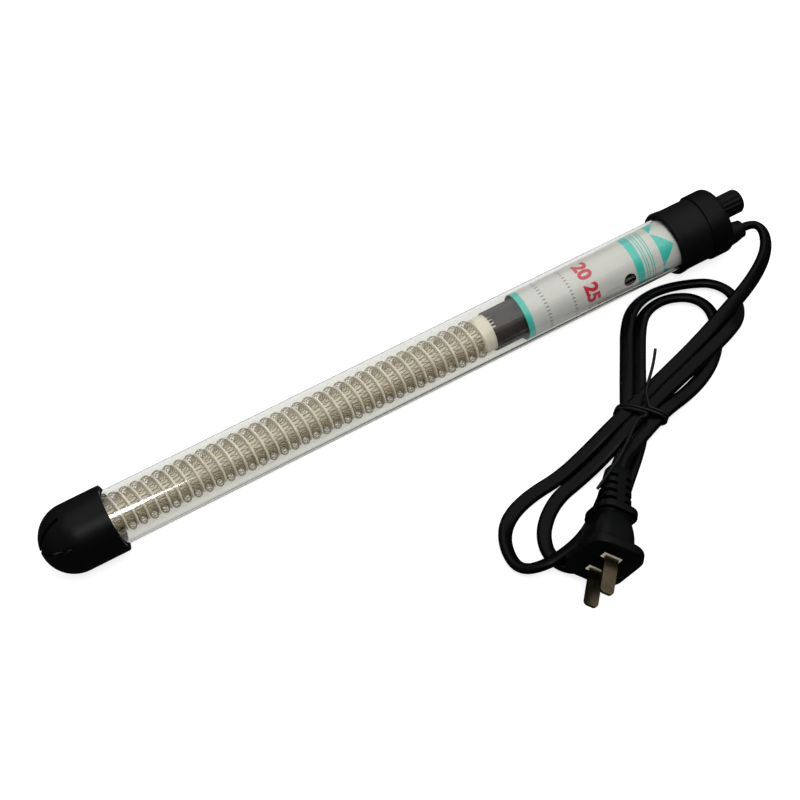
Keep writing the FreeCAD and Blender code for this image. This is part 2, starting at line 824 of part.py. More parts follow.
def thermostat_frame():
    half = "sizes.frame_web_half_width"
    disc_foot = frame_disc("frame_foot_disc", SLEEVE_HEAD, "%s + sizes.disc_length" % SLEEVE_HEAD)
    disc_head = frame_disc("frame_head_disc", "%s - sizes.disc_length" % STOPPER_FOOT, STOPPER_FOOT)
    web = box("frame_web",
              ("%s + sizes.past" % SLEEVE_HEAD, "-" + half, WEB_FLOOR),
              ("%s - sizes.past" % STOPPER_FOOT, half, WEB_TOP))
    wall = box("frame_wall",
               (NUT_FOOT, "-sizes.past", "%s - sizes.past" % WEB_TOP),
               (NUT_HEAD, "sizes.frame_wall_side", "sizes.axis_height + sizes.frame_wall_rise"))
    lamp_y = worked_out("-sizes.lamp_offset * sin(sizes.window_turn * 1 deg)")
    lamp_z = worked_out("sizes.axis_height + sizes.lamp_offset * cos(sizes.window_turn * 1 deg)")
    post = box("frame_lamp_post",
               ("%s - sizes.lamp_post_length / 2" % WINDOW_X,
                "%r - sizes.lamp_post_width / 2" % lamp_y,
                "%s - sizes.past" % WEB_TOP),
               ("%s + sizes.lamp_post_length / 2" % WINDOW_X,
                "%r + sizes.lamp_post_width / 2" % lamp_y,
                "%r - sizes.lamp_radius + sizes.lamp_seat_depth" % lamp_z))
    whole = joined("frame_whole", [disc_foot, disc_head, web, wall, post])
    through = "sizes.disc_length + 2 * sizes.past"
    in_foot_disc = "%s - sizes.past" % SLEEVE_HEAD
    in_head_disc = "%s - sizes.disc_length - sizes.past" % STOPPER_FOOT
    holes = [
        rod("frame_lead_hole", in_foot_disc, through, "sizes.lead_wire / 2 + sizes.wire_play",
            "0", "sizes.axis_height"),
        rod("frame_top_hole", in_foot_disc, through, "sizes.lead_wire / 2 + sizes.wire_play",
            "-%s * sin(sizes.winding_turn * 1 deg)" % WINDING_R,
            "sizes.axis_height + %s * cos(sizes.winding_turn * 1 deg)" % WINDING_R),
        rod("frame_spindle_hole", in_head_disc, through, "sizes.spindle_radius + sizes.spindle_play",
            "sizes.spindle_y", "sizes.axis_height"),
        rod("frame_live_hole", in_head_disc, through, "sizes.core_insulation / 2 + sizes.wire_play",
            "sizes.core_y", "sizes.axis_height - sizes.core_spread"),
        rod("frame_neutral_hole", in_head_disc, through, "sizes.core_insulation / 2 + sizes.wire_play",
            "sizes.core_y", "sizes.axis_height + sizes.core_spread"),
        rod("frame_bush_seat", "%s - sizes.past" % NUT_FOOT, "sizes.nut_length + 2",
            "sizes.nut_radius", "sizes.spindle_y", "sizes.axis_height"),
        rod("frame_lamp_seat", "%s - sizes.lamp_seat_length / 2" % WINDOW_X,
            "sizes.lamp_seat_length", "sizes.lamp_radius",
            repr(lamp_y), repr(lamp_z)),
        box("frame_wire_notch",
            ("%s - sizes.disc_length - sizes.frame_wire_notch" % STOPPER_FOOT,
             "-sizes.frame_web_half_width - sizes.past", "%s - sizes.past" % WEB_FLOOR),
            ("%s - sizes.disc_length" % STOPPER_FOOT,
             "sizes.core_y + sizes.frame_wire_notch_side", "%s + sizes.past" % WEB_TOP)),
        box("frame_ramp_recess",
            ("%s - sizes.past" % RAMP_X, "sizes.spindle_y - sizes.ramp_flange_radius",
             "%s - sizes.frame_ramp_recess" % WEB_TOP),
            ("%s + sizes.ramp_flange + 2 * sizes.past" % RAMP_X,
             "sizes.spindle_y + sizes.ramp_flange_radius", "%s + sizes.past" % WEB_TOP)),
    ]
    for name, y in (("frame_leaf_screw_hole", "sizes.leaf_y"),
                    ("frame_bimetal_screw_hole", "sizes.bimetal_y")):
        hole = doc.addObject("Part::Cylinder", name)
        hole.setExpression("Radius", "sizes.anchor_screw_radius")
        hole.setExpression("Height", "sizes.frame_web_thickness + 2 * sizes.past")
        hole.setExpression(".Placement.Base.x", ANCHOR_SCREW_X)
        hole.setExpression(".Placement.Base.y", y)
        hole.setExpression(".Placement.Base.z", "%s - sizes.past" % WEB_FLOOR)
        holes.append(hole)
    cutter = joined("frame_holes", holes)
    cut_away("thermostat_frame", whole, cutter)
    return lamp_y, lamp_z


# Leaf, bimetal, their contacts, anchors and screws
def anchor(label, y, thickness):
    """The block that clamps a strip's root, with its slot and the screw's hole."""
    half = "sizes.anchor_width / 2"
    block = box(label + "_block",
                (ANCHOR_FOOT, "%s - %s" % (y, half), WEB_TOP),
                (ANCHOR_HEAD, "%s + %s" % (y, half), "%s + sizes.anchor_height" % WEB_TOP))
    slot = box(label + "_slot",
               ("%s - sizes.strip_slot_depth" % ANCHOR_HEAD,
                "%s - %s / 2 - sizes.strip_root_play" % (y, thickness),
                "%s + sizes.strip_slot_lift" % WEB_TOP),
               ("%s + sizes.past" % ANCHOR_HEAD,
                "%s + %s / 2 + sizes.strip_root_play" % (y, thickness),
                "%s + sizes.anchor_height + sizes.past" % WEB_TOP))
    hole = doc.addObject("Part::Cylinder", label + "_hole")
    hole.setExpression("Radius", "sizes.anchor_screw_radius")
    hole.setExpression("Height", "sizes.anchor_height + 2 * sizes.past")
    hole.setExpression(".Placement.Base.x", ANCHOR_SCREW_X)
    hole.setExpression(".Placement.Base.y", y)
    hole.setExpression(".Placement.Base.z", "%s - sizes.past" % WEB_TOP)
    cut_away(label, block, joined(label + "_cuts", [slot, hole]))


def strip_sides(y, thickness):
    """Low and high y of a strip, and low and high z."""
    low = "%s - %s / 2" % (y, thickness)
    high = "%s + %s / 2" % (y, thickness)
    foot = "%s + sizes.strip_lift" % WEB_TOP
    head = "%s + sizes.strip_lift + sizes.strip_width" % WEB_TOP
    return low, high, foot, head


def contact_leaf():
    low, high, foot, head = strip_sides("sizes.leaf_y", "sizes.leaf_thickness")
    strip = box("leaf_strip", (STRIP_ROOT, low, foot), (LEAF_TIP, high, head))
    tab = box("leaf_tab",
              ("%s - sizes.leaf_thickness" % LEAF_TIP, low, foot),
              (LEAF_TIP, "sizes.spindle_y + sizes.leaf_tab_past", head))
    pip = rod("leaf_pip", "%s - sizes.leaf_thickness" % LEAF_TIP,
              "sizes.leaf_thickness + sizes.pip_height", "sizes.pip_radius",
              "sizes.spindle_y - sizes.pip_offset", "sizes.axis_height")
    joined("contact_leaf", [strip, tab, pip])


def bimetal_strip():
    low, high, foot, head = strip_sides("sizes.bimetal_y", "sizes.bimetal_thickness")
    box("bimetal_strip", (STRIP_ROOT, low, foot), ("%s + sizes.bimetal_length" % STRIP_ROOT, high, head))


def contact(label, foot_y, head_y):
    """A round contact lying along Y between two strips."""
    button = doc.addObject("Part::Cylinder", label)
    button.Placement = Placement(Vector(0, 0, 0), Rotation(Vector(1, 0, 0), -90))
    button.setExpression("Radius", "sizes.contact_radius")
    button.setExpression("Height", "(%s) - (%s)" % (head_y, foot_y))
    button.setExpression(".Placement.Base.x", CONTACT_X)
    button.setExpression(".Placement.Base.y", foot_y)
    button.setExpression(".Placement.Base.z",
                         "%s + sizes.strip_lift + sizes.strip_width / 2" % WEB_TOP)


def contacts():
    leaf_face = "(sizes.leaf_y + sizes.leaf_thickness / 2)"
    bimetal_face = "(sizes.bimetal_y - sizes.bimetal_thickness / 2)"
    height = "(%s - %s - sizes.contact_gap) / 2" % (bimetal_face, leaf_face)
    contact("leaf_contact", leaf_face, "%s + %s" % (leaf_face, height))
    contact("bimetal_contact", "%s - %s" % (bimetal_face, height), bimetal_face)


def anchor_screws():
    """Two countersunk screws down through the anchors and the web."""
    screws = []
    for name, y in (("leaf", "sizes.leaf_y"), ("bimetal", "sizes.bimetal_y")):
        x = ANCHOR_SCREW_X
        shank = doc.addObject("Part::Cylinder", name + "_screw_shank")
        shank.setExpression("Radius", "sizes.anchor_screw_radius")
        shank.setExpression(
            "Height", "sizes.anchor_height + sizes.frame_web_thickness + sizes.anchor_screw_point")
        shank.setExpression(".Placement.Base.x", x)
        shank.setExpression(".Placement.Base.y", y)
        shank.setExpression(".Placement.Base.z", "%s - sizes.anchor_screw_point" % WEB_FLOOR)
        head = doc.addObject("Part::Cylinder", name + "_screw_head")
        head.setExpression("Radius", "sizes.anchor_screw_head_radius")
        head.setExpression("Height", "sizes.anchor_screw_head")
        head.setExpression(".Placement.Base.x", x)
        head.setExpression(".Placement.Base.y", y)
        head.setExpression(".Placement.Base.z", "%s + sizes.anchor_height" % WEB_TOP)
        screws += [shank, head]
    joined("anchor_screws", screws)


def snap_magnet():
    tip = "%s + sizes.bimetal_length" % STRIP_ROOT
    face = "sizes.bimetal_y - sizes.bimetal_thickness / 2 - sizes.magnet_gap"
    box("snap_magnet",
        ("%s - sizes.magnet_length" % tip, "%s - sizes.magnet_width" % face, WEB_TOP),
        (tip, face, "%s + sizes.magnet_height" % WEB_TOP))


# Screw, its bush, spindle, seal and knob
def ramp():
    """Left-handed ramp on the screw's end. Its face, at the pip, draws back as the knob turns up."""
    path = doc.addObject("Part::Helix", "ramp_path")
    path.LocalCoord = "Left-handed"
    path.setExpression("Pitch", "sizes.ramp_lead")
    path.setExpression("Height", RAMP_RISE)
    path.setExpression("Radius", "sizes.ramp_radius")
    section = doc.addObject("Part::Plane", "ramp_section")
    section.Placement = Placement(Vector(0, 0, 0), Rotation(Vector(1, 0, 0), 90))
    section.setExpression(".Placement.Base.x", "sizes.ramp_inner_radius")
    section.setExpression("Length", "sizes.ramp_radius - sizes.ramp_inner_radius")
    section.setExpression("Width", "%s + 2 * sizes.ramp_sink" % RAMP_RISE)
    doc.recompute()
    swept = doc.addObject("Part::Sweep", "screw_ramp")
    swept.Sections = [section]
    swept.Spine = (path, ["Edge1"])
    swept.Solid = True
    swept.Frenet = True
    # the sweep's Z becomes X, and its middle faces the pip, which lies towards -Y
    along_x = Rotation(Vector(1, 1, 1), 120)
    to_pip = Rotation(Vector(1, 0, 0), 180 + size("ramp_span") / 2)
    swept.Placement = Placement(Vector(0, 0, 0), to_pip.multiply(along_x))
    swept.setExpression(".Placement.Base.x", "%s - %s / 2" % (RAMP_X, RAMP_RISE))
    swept.setExpression(".Placement.Base.y", "sizes.spindle_y")
    swept.setExpression(".Placement.Base.z", "sizes.axis_height")
    return swept


def adjusting_screw():
    """Shank with a flat for the spindle's socket, a flange and the ramp."""
    radius = "sizes.screw_radius"
    flange_head = "%s + sizes.ramp_flange" % FLANGE_FOOT
    corners = [
        (FLANGE_FOOT, "0"),
        (FLANGE_FOOT, "sizes.ramp_flange_radius"),
        (flange_head, "sizes.ramp_flange_radius"),
        (flange_head, radius),
        (SCREW_TAIL, radius),
        (SCREW_TAIL, "0"),
    ]
    body = new_body("screw_shank")
    profile = outline(body, "screw_profile", "XZ_Plane", corners)
    revolve(body, profile, "screw_turned")
    doc.recompute()
    flat_foot = "%s - sizes.nut_gap / 3" % SOCKET_FOOT
    flat_corners = [
        (flat_foot, "sizes.screw_flat"),
        ("%s + sizes.past" % SCREW_TAIL, "sizes.screw_flat"),
        ("%s + sizes.past" % SCREW_TAIL, "sizes.screw_radius + sizes.past"),
        (flat_foot, "sizes.screw_radius + sizes.past"),
    ]
    flat = outline(body, "screw_flat", "XZ_Plane", flat_corners)
    pocket(body, flat, "screw_flat_cut", "4 * sizes.screw_radius", midplane=True)
    lift_to_axis(body, "sizes.spindle_y")
    joined("adjusting_screw", [body, ramp()])


def screw_bush():
    turned_piece("screw_bush",
                 ring_corners(NUT_FOOT, "%s + sizes.nut_proud" % NUT_HEAD,
                              "sizes.screw_radius + sizes.spindle_play", "sizes.nut_radius"),
                 y="sizes.spindle_y")


def spindle():
    """Shaft with the D-shaped socket that turns the screw."""
    body = new_body("spindle")
    shaft = "sizes.spindle_radius"
    tip = "%s + sizes.knob_socket_depth - sizes.knob_socket_spare" % KNOB_FOOT
    corners = [
        (SOCKET_FOOT, "0"),
        (SOCKET_FOOT, "sizes.socket_radius"),
        (SOCKET_HEAD, "sizes.socket_radius"),
        ("%s + sizes.spindle_shoulder" % SOCKET_HEAD, shaft),
        (tip, shaft),
        (tip, "0"),
    ]
    profile = outline(body, "spindle_profile", "XZ_Plane", corners)
    revolve(body, profile, "spindle_turned")
    doc.recompute()
    half = worked_out("sizes.screw_radius + sizes.spindle_play")
    flat = worked_out("sizes.screw_flat + sizes.spindle_play")
    side = math.sqrt(half ** 2 - flat ** 2)
    sketch = outline(body, "spindle_socket", "YZ_Plane",
                     [(repr(-side), repr(flat)), (repr(side), repr(flat))],
                     {0: ("0", "0", True)}, offset=SOCKET_FOOT)
    doc.recompute()
    pocket(body, sketch, "spindle_socket_cut",
           "%s + sizes.socket_spare - (%s)" % (SCREW_TAIL, SOCKET_FOOT), back=True)
    lift_to_axis(body, "sizes.spindle_y")


def spindle_bush():
    """Guide pressed into the cap's end wall."""
    bore = "sizes.spindle_radius + sizes.spindle_play"
    corners = ring_corners(STOPPER_HEAD, "%s + sizes.bush_proud" % CAP_END, bore, "sizes.bush_radius")
    turned_piece("spindle_bush", corners, y="sizes.spindle_y")


def spindle_seal():
    """Sealing ring in the stopper's flange, with its corners cut."""
    inner = "(sizes.spindle_radius + sizes.spindle_play)"
    outer = "(%s + sizes.seal_wire)" % inner
    foot = "(%s - sizes.seal_wire)" % STOPPER_HEAD
    cut = "sizes.seal_cut"
    corners = [
        ("%s + %s" % (foot, cut), inner),
        ("%s - %s" % (STOPPER_HEAD, cut), inner),
        (STOPPER_HEAD, "(%s + %s) / 2" % (inner, outer)),
        ("%s - %s" % (STOPPER_HEAD, cut), outer),
        ("%s + %s" % (foot, cut), outer),
        (foot, "(%s + %s) / 2" % (inner, outer)),
    ]
    turned_piece("spindle_seal", corners, y="sizes.spindle_y")


def knob():
    body = new_body("knob")
    radius = "sizes.knob_radius"
    bore = "sizes.spindle_radius"
    corners = [
        (KNOB_FOOT, bore),
        ("%s + sizes.knob_socket_depth" % KNOB_FOOT, bore),
        ("%s + sizes.knob_socket_depth" % KNOB_FOOT, "0"),
        (KNOB_TIP, "0"),
        (KNOB_TIP, "%s - sizes.knob_edge" % radius),
        ("%s - sizes.knob_edge" % KNOB_TIP, radius),
        (KNOB_FOOT, radius),
    ]
    profile = outline(body, "knob_profile", "XZ_Plane", corners)
    revolve(body, profile, "knob_turned")
    doc.recompute()
    flute_corners = [
        ("%s + sizes.knob_rib_foot" % KNOB_FOOT, "%s - sizes.knob_rib_depth" % radius),
        ("%s + sizes.past" % KNOB_TIP, "%s - sizes.knob_rib_depth" % radius),
        ("%s + sizes.past" % KNOB_TIP, "%s + sizes.past" % radius),
        ("%s + sizes.knob_rib_foot" % KNOB_FOOT, "%s + sizes.past" % radius),
    ]
    flute = outline(body, "knob_flute", "XZ_Plane", flute_corners)
    cut = pocket(body, flute, "knob_flute_cut", "pi * %s / sizes.knob_rib_count" % radius, midplane=True)
    polar(body, cut, flute, "knob_flutes", "sizes.knob_rib_count")
    lift_to_axis(body, "sizes.spindle_y")


# Stopper, rubber sleeve and cap
def tube_stopper():
    body = new_body("tube_stopper_plug")
    corners = [
        (STOPPER_FOOT, "0"),
        (STOPPER_FOOT, BORE_R),
        (GLASS_MOUTH, BORE_R),
        (GLASS_MOUTH, RUBBER_R),
        (STOPPER_HEAD, RUBBER_R),
        (STOPPER_HEAD, "0"),
    ]
    profile = outline(body, "stopper_profile", "XZ_Plane", corners)
    revolve(body, profile, "stopper_turned")
    lift_to_axis(body)
    length = "%s - (%s) + 2 * sizes.past" % (STOPPER_HEAD, STOPPER_FOOT)
    foot = "%s - sizes.past" % STOPPER_FOOT
    holes = [
        rod("stopper_spindle_hole", foot, length, "sizes.spindle_radius + sizes.spindle_play",
            "sizes.spindle_y", "sizes.axis_height"),
        rod("stopper_seal_seat", "%s - sizes.seal_wire" % STOPPER_HEAD, "sizes.seal_wire + sizes.past",
            "sizes.spindle_radius + sizes.spindle_play + sizes.seal_wire",
            "sizes.spindle_y", "sizes.axis_height"),
        rod("stopper_live_hole", foot, length, "sizes.core_insulation / 2",
            "sizes.core_y", "sizes.axis_height - sizes.core_spread"),
        rod("stopper_neutral_hole", foot, length, "sizes.core_insulation / 2",
            "sizes.core_y", "sizes.axis_height + sizes.core_spread"),
    ]
    cut_away("tube_stopper", body, joined("stopper_holes", holes))


def head_sleeve():
    """Rubber sleeve that grips the glass, with a swollen lip."""
    lip = "sizes.lip_swell"
    corners = [
        (RUBBER_LIP, GLASS_R),
        (GLASS_MOUTH, GLASS_R),
        (GLASS_MOUTH, RUBBER_R),
        ("%s + sizes.lip_length" % RUBBER_LIP, RUBBER_R),
        ("%s + sizes.lip_flat" % RUBBER_LIP, "%s + %s" % (RUBBER_R, lip)),
        ("%s + sizes.lip_round" % RUBBER_LIP, "%s + %s" % (RUBBER_R, lip)),
        (RUBBER_LIP, "%s + %s - sizes.lip_round" % (RUBBER_R, lip)),
    ]
    centre = ("%s + sizes.lip_round" % RUBBER_LIP, "%s + %s - sizes.lip_round" % (RUBBER_R, lip), True)
    turned_piece("head_sleeve", corners, {5: centre})


def head_cap():
    body = new_body("head_cap_shell")
    radius = "sizes.cap_radius"
    corners = [
        (SEAM, RUBBER_R),
        (STOPPER_HEAD, RUBBER_R),
        (STOPPER_HEAD, "0"),
        (CAP_END, "0"),
        (CAP_END, "%s - sizes.cap_edge" % radius),
        ("%s - sizes.cap_edge" % CAP_END, radius),
        (SEAM, radius),
    ]
    arcs = {4: ("%s - sizes.cap_edge" % CAP_END, "%s - sizes.cap_edge" % radius, True)}
    profile = outline(body, "cap_profile", "XZ_Plane", corners, arcs)
    revolve(body, profile, "cap_turned")
    lift_to_axis(body)
    foot = "%s - sizes.past" % STOPPER_HEAD
    length = "sizes.cap_end_wall + 2 * sizes.past"
    holes = [
        rod("cap_bush_hole", foot, length, "sizes.bush_radius", "sizes.spindle_y", "sizes.axis_height"),
        rod("cap_gland_hole", foot, length, "sizes.gland_tip_radius", "sizes.gland_y", "sizes.axis_height"),
    ]
    cut_away("head_cap", body, joined("cap_holes", holes))


def cord_gland():
    """Tapered outlet that is pressed into the cap and holds the lead."""
    bore = "sizes.lead_diameter / 2"
    corners = [
        (STOPPER_HEAD, bore),
        ("%s + sizes.gland_length" % CAP_END, bore),
        ("%s + sizes.gland_length" % CAP_END, "sizes.gland_tip_radius"),
        ("%s + sizes.gland_shoulder" % CAP_END, "sizes.gland_radius"),
        (CAP_END, "sizes.gland_radius"),
        (CAP_END, "sizes.gland_tip_radius"),
        (STOPPER_HEAD, "sizes.gland_tip_radius"),
    ]
    turned_piece("cord_gland", corners, y="sizes.gland_y")


# Lamp and resistor
def lamp_and_resistor(lamp_y, lamp_z):
    foot = "%s - sizes.lamp_length / 2 + sizes.lamp_shift" % WINDOW_X
    head = "(%s + sizes.lamp_length)" % foot
    radius = "sizes.lamp_radius"
    lamp = turned_piece("neon_lamp", [
        (foot, "0"),
        ("%s + %s" % (foot, radius), radius),
        (head, radius),
        (head, "0"),
    ], {0: ("%s + %s" % (foot, radius), "0", False)}, y=repr(lamp_y))
    lamp.setExpression(".Placement.Base.z", repr(lamp_z))
    fine = "sizes.fine_wire / 2"
    body_foot = "(%s + sizes.resistor_gap)" % head
    body_head = "(%s + sizes.resistor_length)" % body_foot
    tail = "%s + sizes.resistor_tail" % body_head
    resistor = turned_piece("lamp_resistor", [
        (head, "0"),
        (head, fine),
        (body_foot, fine),
        (body_foot, "sizes.resistor_radius"),
        (body_head, "sizes.resistor_radius"),
        (body_head, fine),
        (tail, fine),
        (tail, "0"),
    ], y=repr(lamp_y))
    resistor.setExpression(".Placement.Base.z", repr(lamp_z))
    return worked_out(tail)


# Supply wires from the lead's end to the thermostat
def live_wire():
    height = size("axis_height")
    y = size("core_y")
    below = worked_out(WEB_FLOOR) - size("live_drop") - size("core_insulation") / 2
    head_disc = worked_out(STOPPER_FOOT) - size("disc_length")
    screw_x = worked_out(ANCHOR_SCREW_X)
    points = [
        Vector(worked_out(STOPPER_HEAD), y, height - size("core_spread")),
        Vector(head_disc - size("live_run_out"), y, height - size("core_spread")),
        Vector(head_disc - size("live_dive"), y + size("live_shift"), below),
        Vector(screw_x + size("live_approach"), size("leaf_y") + size("past"), below),
        Vector(screw_x - size("past"), size("leaf_y"), below),
    ]
    return wire("live_wire", points, size("core_insulation"), size("core_bend"))


def neutral_wire(resistor_end, lamp_y, lamp_z):
    height = size("axis_height")
    start_y = size("core_y")
    z = height + size("core_spread")
    clear = size("fine_wire") / 2 + size("core_insulation") / 2 + size("neutral_rest")
    end = around(winding_phase(), size("core_radius") + size("winding_wire") / 2, worked_out(ANCHOR_FOOT))
    head_disc = worked_out(STOPPER_FOOT) - size("disc_length")
    points = [
        Vector(worked_out(STOPPER_HEAD), start_y, z),
        Vector(head_disc - size("neutral_run_out"), start_y, z),
        Vector(head_disc - size("neutral_climb"), lamp_y, lamp_z + clear),
        Vector(resistor_end - size("past"), lamp_y, lamp_z + clear),
        Vector(resistor_end - size("neutral_cross"), size("neutral_side"), height + size("neutral_rise")),
        Vector(end.x + size("live_approach"), end.y, end.z),
        end,
    ]
    return wire("neutral_wire", points, size("core_insulation"), size("core_bend"))


# Free lead: points chosen by hand along the route in the photograph, exit first
ROUTE = [
    (167.5, -9.9, 15.2),
    (172.8, -9.9, 15.2),
    (175.9, -14.2, 14.1),
    (174.0, -20.6, 12.2),
    (168.0, -26.9, 10.4),
    (156.5, -33.4, 8.7),
    (140.0, -39.7, 7.8),
    (118.5, -47.8, 7.9),
    (97.0, -54.6, 8.5),
    (77.3, -60.9, 9.0),
    (64.0, -64.5, 8.4),
    (49.5, -68.0, 4.4),
    (34.0, -71.7, 2.3),
    (17.5, -72.9, 2.25),
    (5.0, -77.0, 2.25),
    (-2.4, -84.5, 2.25),
    (-5.4, -94.5, 2.25),
    (-3.8, -102.0, 3.5),
    (3.2, -106.0, 6.6),
    (12.5, -106.2, 7.6),
    (23.5, -103.3, 5.0),
    (34.0, -97.8, 2.4),
    (47.5, -87.5, 2.25),
    (61.8, -77.0, 2.3),
    (69.5, -69.8, 3.3),
    (74.8, -60.7, 3.9),
    (84.0, -46.3, 2.8),
    (93.0, -32.5, 2.25),
    (99.5, -22.5, 2.25),
    (106.5, -15.4, 2.25),
    (116.0, -12.6, 2.25),
    (126.5, -13.5, 2.25),
    (136.5, -16.9, 2.25),
    (144.6, -21.0, 2.25),
    (149.3, -28.0, 2.25),
    (149.3, -36.0, 2.25),
    (144.5, -42.9, 3.8),
    (136.5, -48.0, 7.0),
    (123.0, -52.7, 7.8),
    (108.0, -57.1, 8.2),
    (93.0, -61.6, 8.7),
    (79.0, -65.8, 9.0),
    (67.0, -69.9, 8.5),
    (53.5, -74.0, 4.6),
    (40.0, -76.9, 2.3),
    (28.5, -79.3, 2.25),
    (19.5, -84.4, 2.25),
    (12.4, -91.9, 2.25),
    (9.4, -101.5, 2.25),
    (13.0, -110.2, 2.25),
    (22.3, -114.3, 2.25),
    (31.8, -111.6, 2.25),
    (40.5, -103.3, 2.25),
    (53.5, -90.8, 2.25),
    (67.5, -79.0, 2.4),
    (74.7, -71.7, 3.4),
    (79.4, -63.5, 3.9),
    (88.3, -49.3, 2.8),
    (97.2, -35.5, 2.25),
    (103.3, -26.5, 2.25),
    (109.3, -20.4, 2.25),
    (117.5, -18.0, 2.25),
    (125.8, -19.2, 2.25),
    (133.4, -23.6, 2.25),
    (136.9, -31.0, 2.25),
    (135.2, -39.5, 2.25),
    (130.2, -47.7, 2.25),
    (123.0, -55.2, 2.25),
    (113.0, -61.0, 2.4),
    (101.5, -65.3, 4.6),
    (89.5, -68.6, 8.0),
    (78.5, -72.6, 9.0),
    (65.8, -78.4, 11.4),
]


def plug_frame():
    """Where the plug lies: x from its face to its lead, y across a blade, z between the blades."""
    yaw = Rotation(Vector(0, 0, 1), size("plug_yaw"))
    fall = Rotation(Vector(0, 1, 0), size("plug_rise"))
    roll = Rotation(Vector(1, 0, 0), size("plug_roll") + 180)
    place = Vector(size("plug_x"), size("plug_y"), size("plug_height"))
    return Placement(place, yaw.multiply(fall).multiply(roll))


def route_points():
    """The route, ending square in the plug's strain relief."""
    points = [Vector(*p) for p in ROUTE]
    plug = plug_frame()
    entry = plug.multVec(Vector(size("plug_length"), 0, 0))
    before = plug.multVec(Vector(size("plug_length") + 6.0, 0, 0))
    return points + [before, entry]


def least_gap(path, diameter, spacing=1.5, stretch=20):
    """Least clear distance between points of the lead that are over a stretch apart along it."""
    count = int(path.Length / spacing)
    points = path.discretize(Number=count)
    step = path.Length / (count - 1)
    apart = int(stretch / step)
    least = 1e9
    for i in range(0, count):
        for j in range(i + apart, count):
            gap = points[i].distanceToPoint(points[j])
            if gap < least:
                least = gap
                where = points[i]
    return least - diameter, where


def power_cord():
    diameter = size("lead_diameter")
    path, radii = bent_path(route_points())
    print("lead: length", round(path.Length, 1), "radii", [round(r, 1) for r in radii])
    print("lead: smallest radius", round(min(radii), 1), "at point", radii.index(min(radii)) + 1)
    gap, where = least_gap(path, diameter)
    print("lead: least gap to itself", round(gap, 2), "mm near", where)
    need(gap > size("least_gap"), "the lead runs into itself")
    return made("power_cord", tube_along(path, diameter / 2))


def inner_cord():
    """The lead's last stretch inside the gland."""
    diameter = size("lead_diameter")
    height = size("axis_height")
    foot = Vector(worked_out(STOPPER_HEAD), size("gland_y"), height)
    head = Vector(worked_out("%s + sizes.gland_length" % CAP_END), size("gland_y"), height)
    path = Part.Wire([Part.LineSegment(foot, head).toShape()])
    return made("cord_in_gland", tube_along(path, diameter / 2))


# Wire tie round the bundle's waist, at points chosen by hand as the lead's are: the rings' middle and
# direction on the floor, their corners across and up, the knot, and the two free ends
TIE_CENTRE = (78.0, -63.7)
TIE_ALONG = (0.76, 0.65)
TIE_RING = [(-10.0, 0.62), (2.2, 0.62), (12.8, 6.6), (12.8, 12.2), (-6.0, 12.2)]
TIE_KNOT = (4.0, 12.7)
TIE_ENDS = [
    [(88.0, -52.0, 14.5), (97.0, -41.5, 17.0)],
    [(66.0, -74.0, 13.8), (50.5, -83.0, 16.5)],
]


def twist_tie():
    """Two rings round the bundle, a twisted knot on top and two free ends."""
    thick = size("tie_wire")
    centre = Vector(*TIE_CENTRE, 0)
    along = Vector(*TIE_ALONG, 0)
    side = Vector(TIE_ALONG[1], -TIE_ALONG[0], 0)
    loops = []
    for shift in (-size("tie_spacing") / 2, size("tie_spacing") / 2):
        corners = [centre + side * s + along * shift + Vector(0, 0, z) for s, z in TIE_RING]
        middles = [(a + b) * 0.5 for a, b in zip(corners, corners[1:] + corners[:1])]
        points = [middles[-1]] + corners + [middles[-1]]
        path = bent_path(points, size("tie_ring_bend"))[0]
        loops.append(tube_along(path, thick / 2, sides=5))
    knot = centre + side * TIE_KNOT[0] + Vector(0, 0, TIE_KNOT[1])
    for end in TIE_ENDS:
        points = [knot] + [Vector(*point) for point in end]
        path = bent_path(points, size("tie_end_bend"))[0]
        loops.append(tube_along(path, size("tie_end_wire") / 2, sides=5))
    height = size("tie_knot_height")
    twist = Part.makeCylinder(thick, height, knot - Vector(0, 0, height / 3), Vector(0, 0, 1))
    tie = loops[0].multiFuse(loops[1:] + [twist]).removeSplitter()
    return made("twist_tie", tie)


# Plug: drawn along X from its face, then put in its place
def rounded_outline(body, name, width, height, corner, station):
    """A rounded rectangle in a YZ plane at a station along the plug."""
    w = "(%s / 2)" % width
    t = "(%s / 2)" % height
    cw = "(%s / 2 - %s)" % (width, corner)
    ct = "(%s / 2 - %s)" % (height, corner)
    corners = [
        ("-" + cw, "-" + t), (cw, "-" + t),
        (w, "-" + ct), (w, ct),
        (cw, t), ("-" + cw, t),
        ("-" + w, ct), ("-" + w, "-" + ct),
    ]
    arcs = {
        1: (cw, "-" + ct, True),
        3: (cw, ct, True),
        5: ("-" + cw, ct, True),
        7: ("-" + cw, "-" + ct, True),
    }
    return outline(body, name, "YZ_Plane", corners, arcs, offset=station)


def loft(body, name, first, rest):
    through = body.newObject("PartDesign::AdditiveLoft", name)
    through.Profile = first
    through.Sections = rest
    through.Ruled = True
    return through


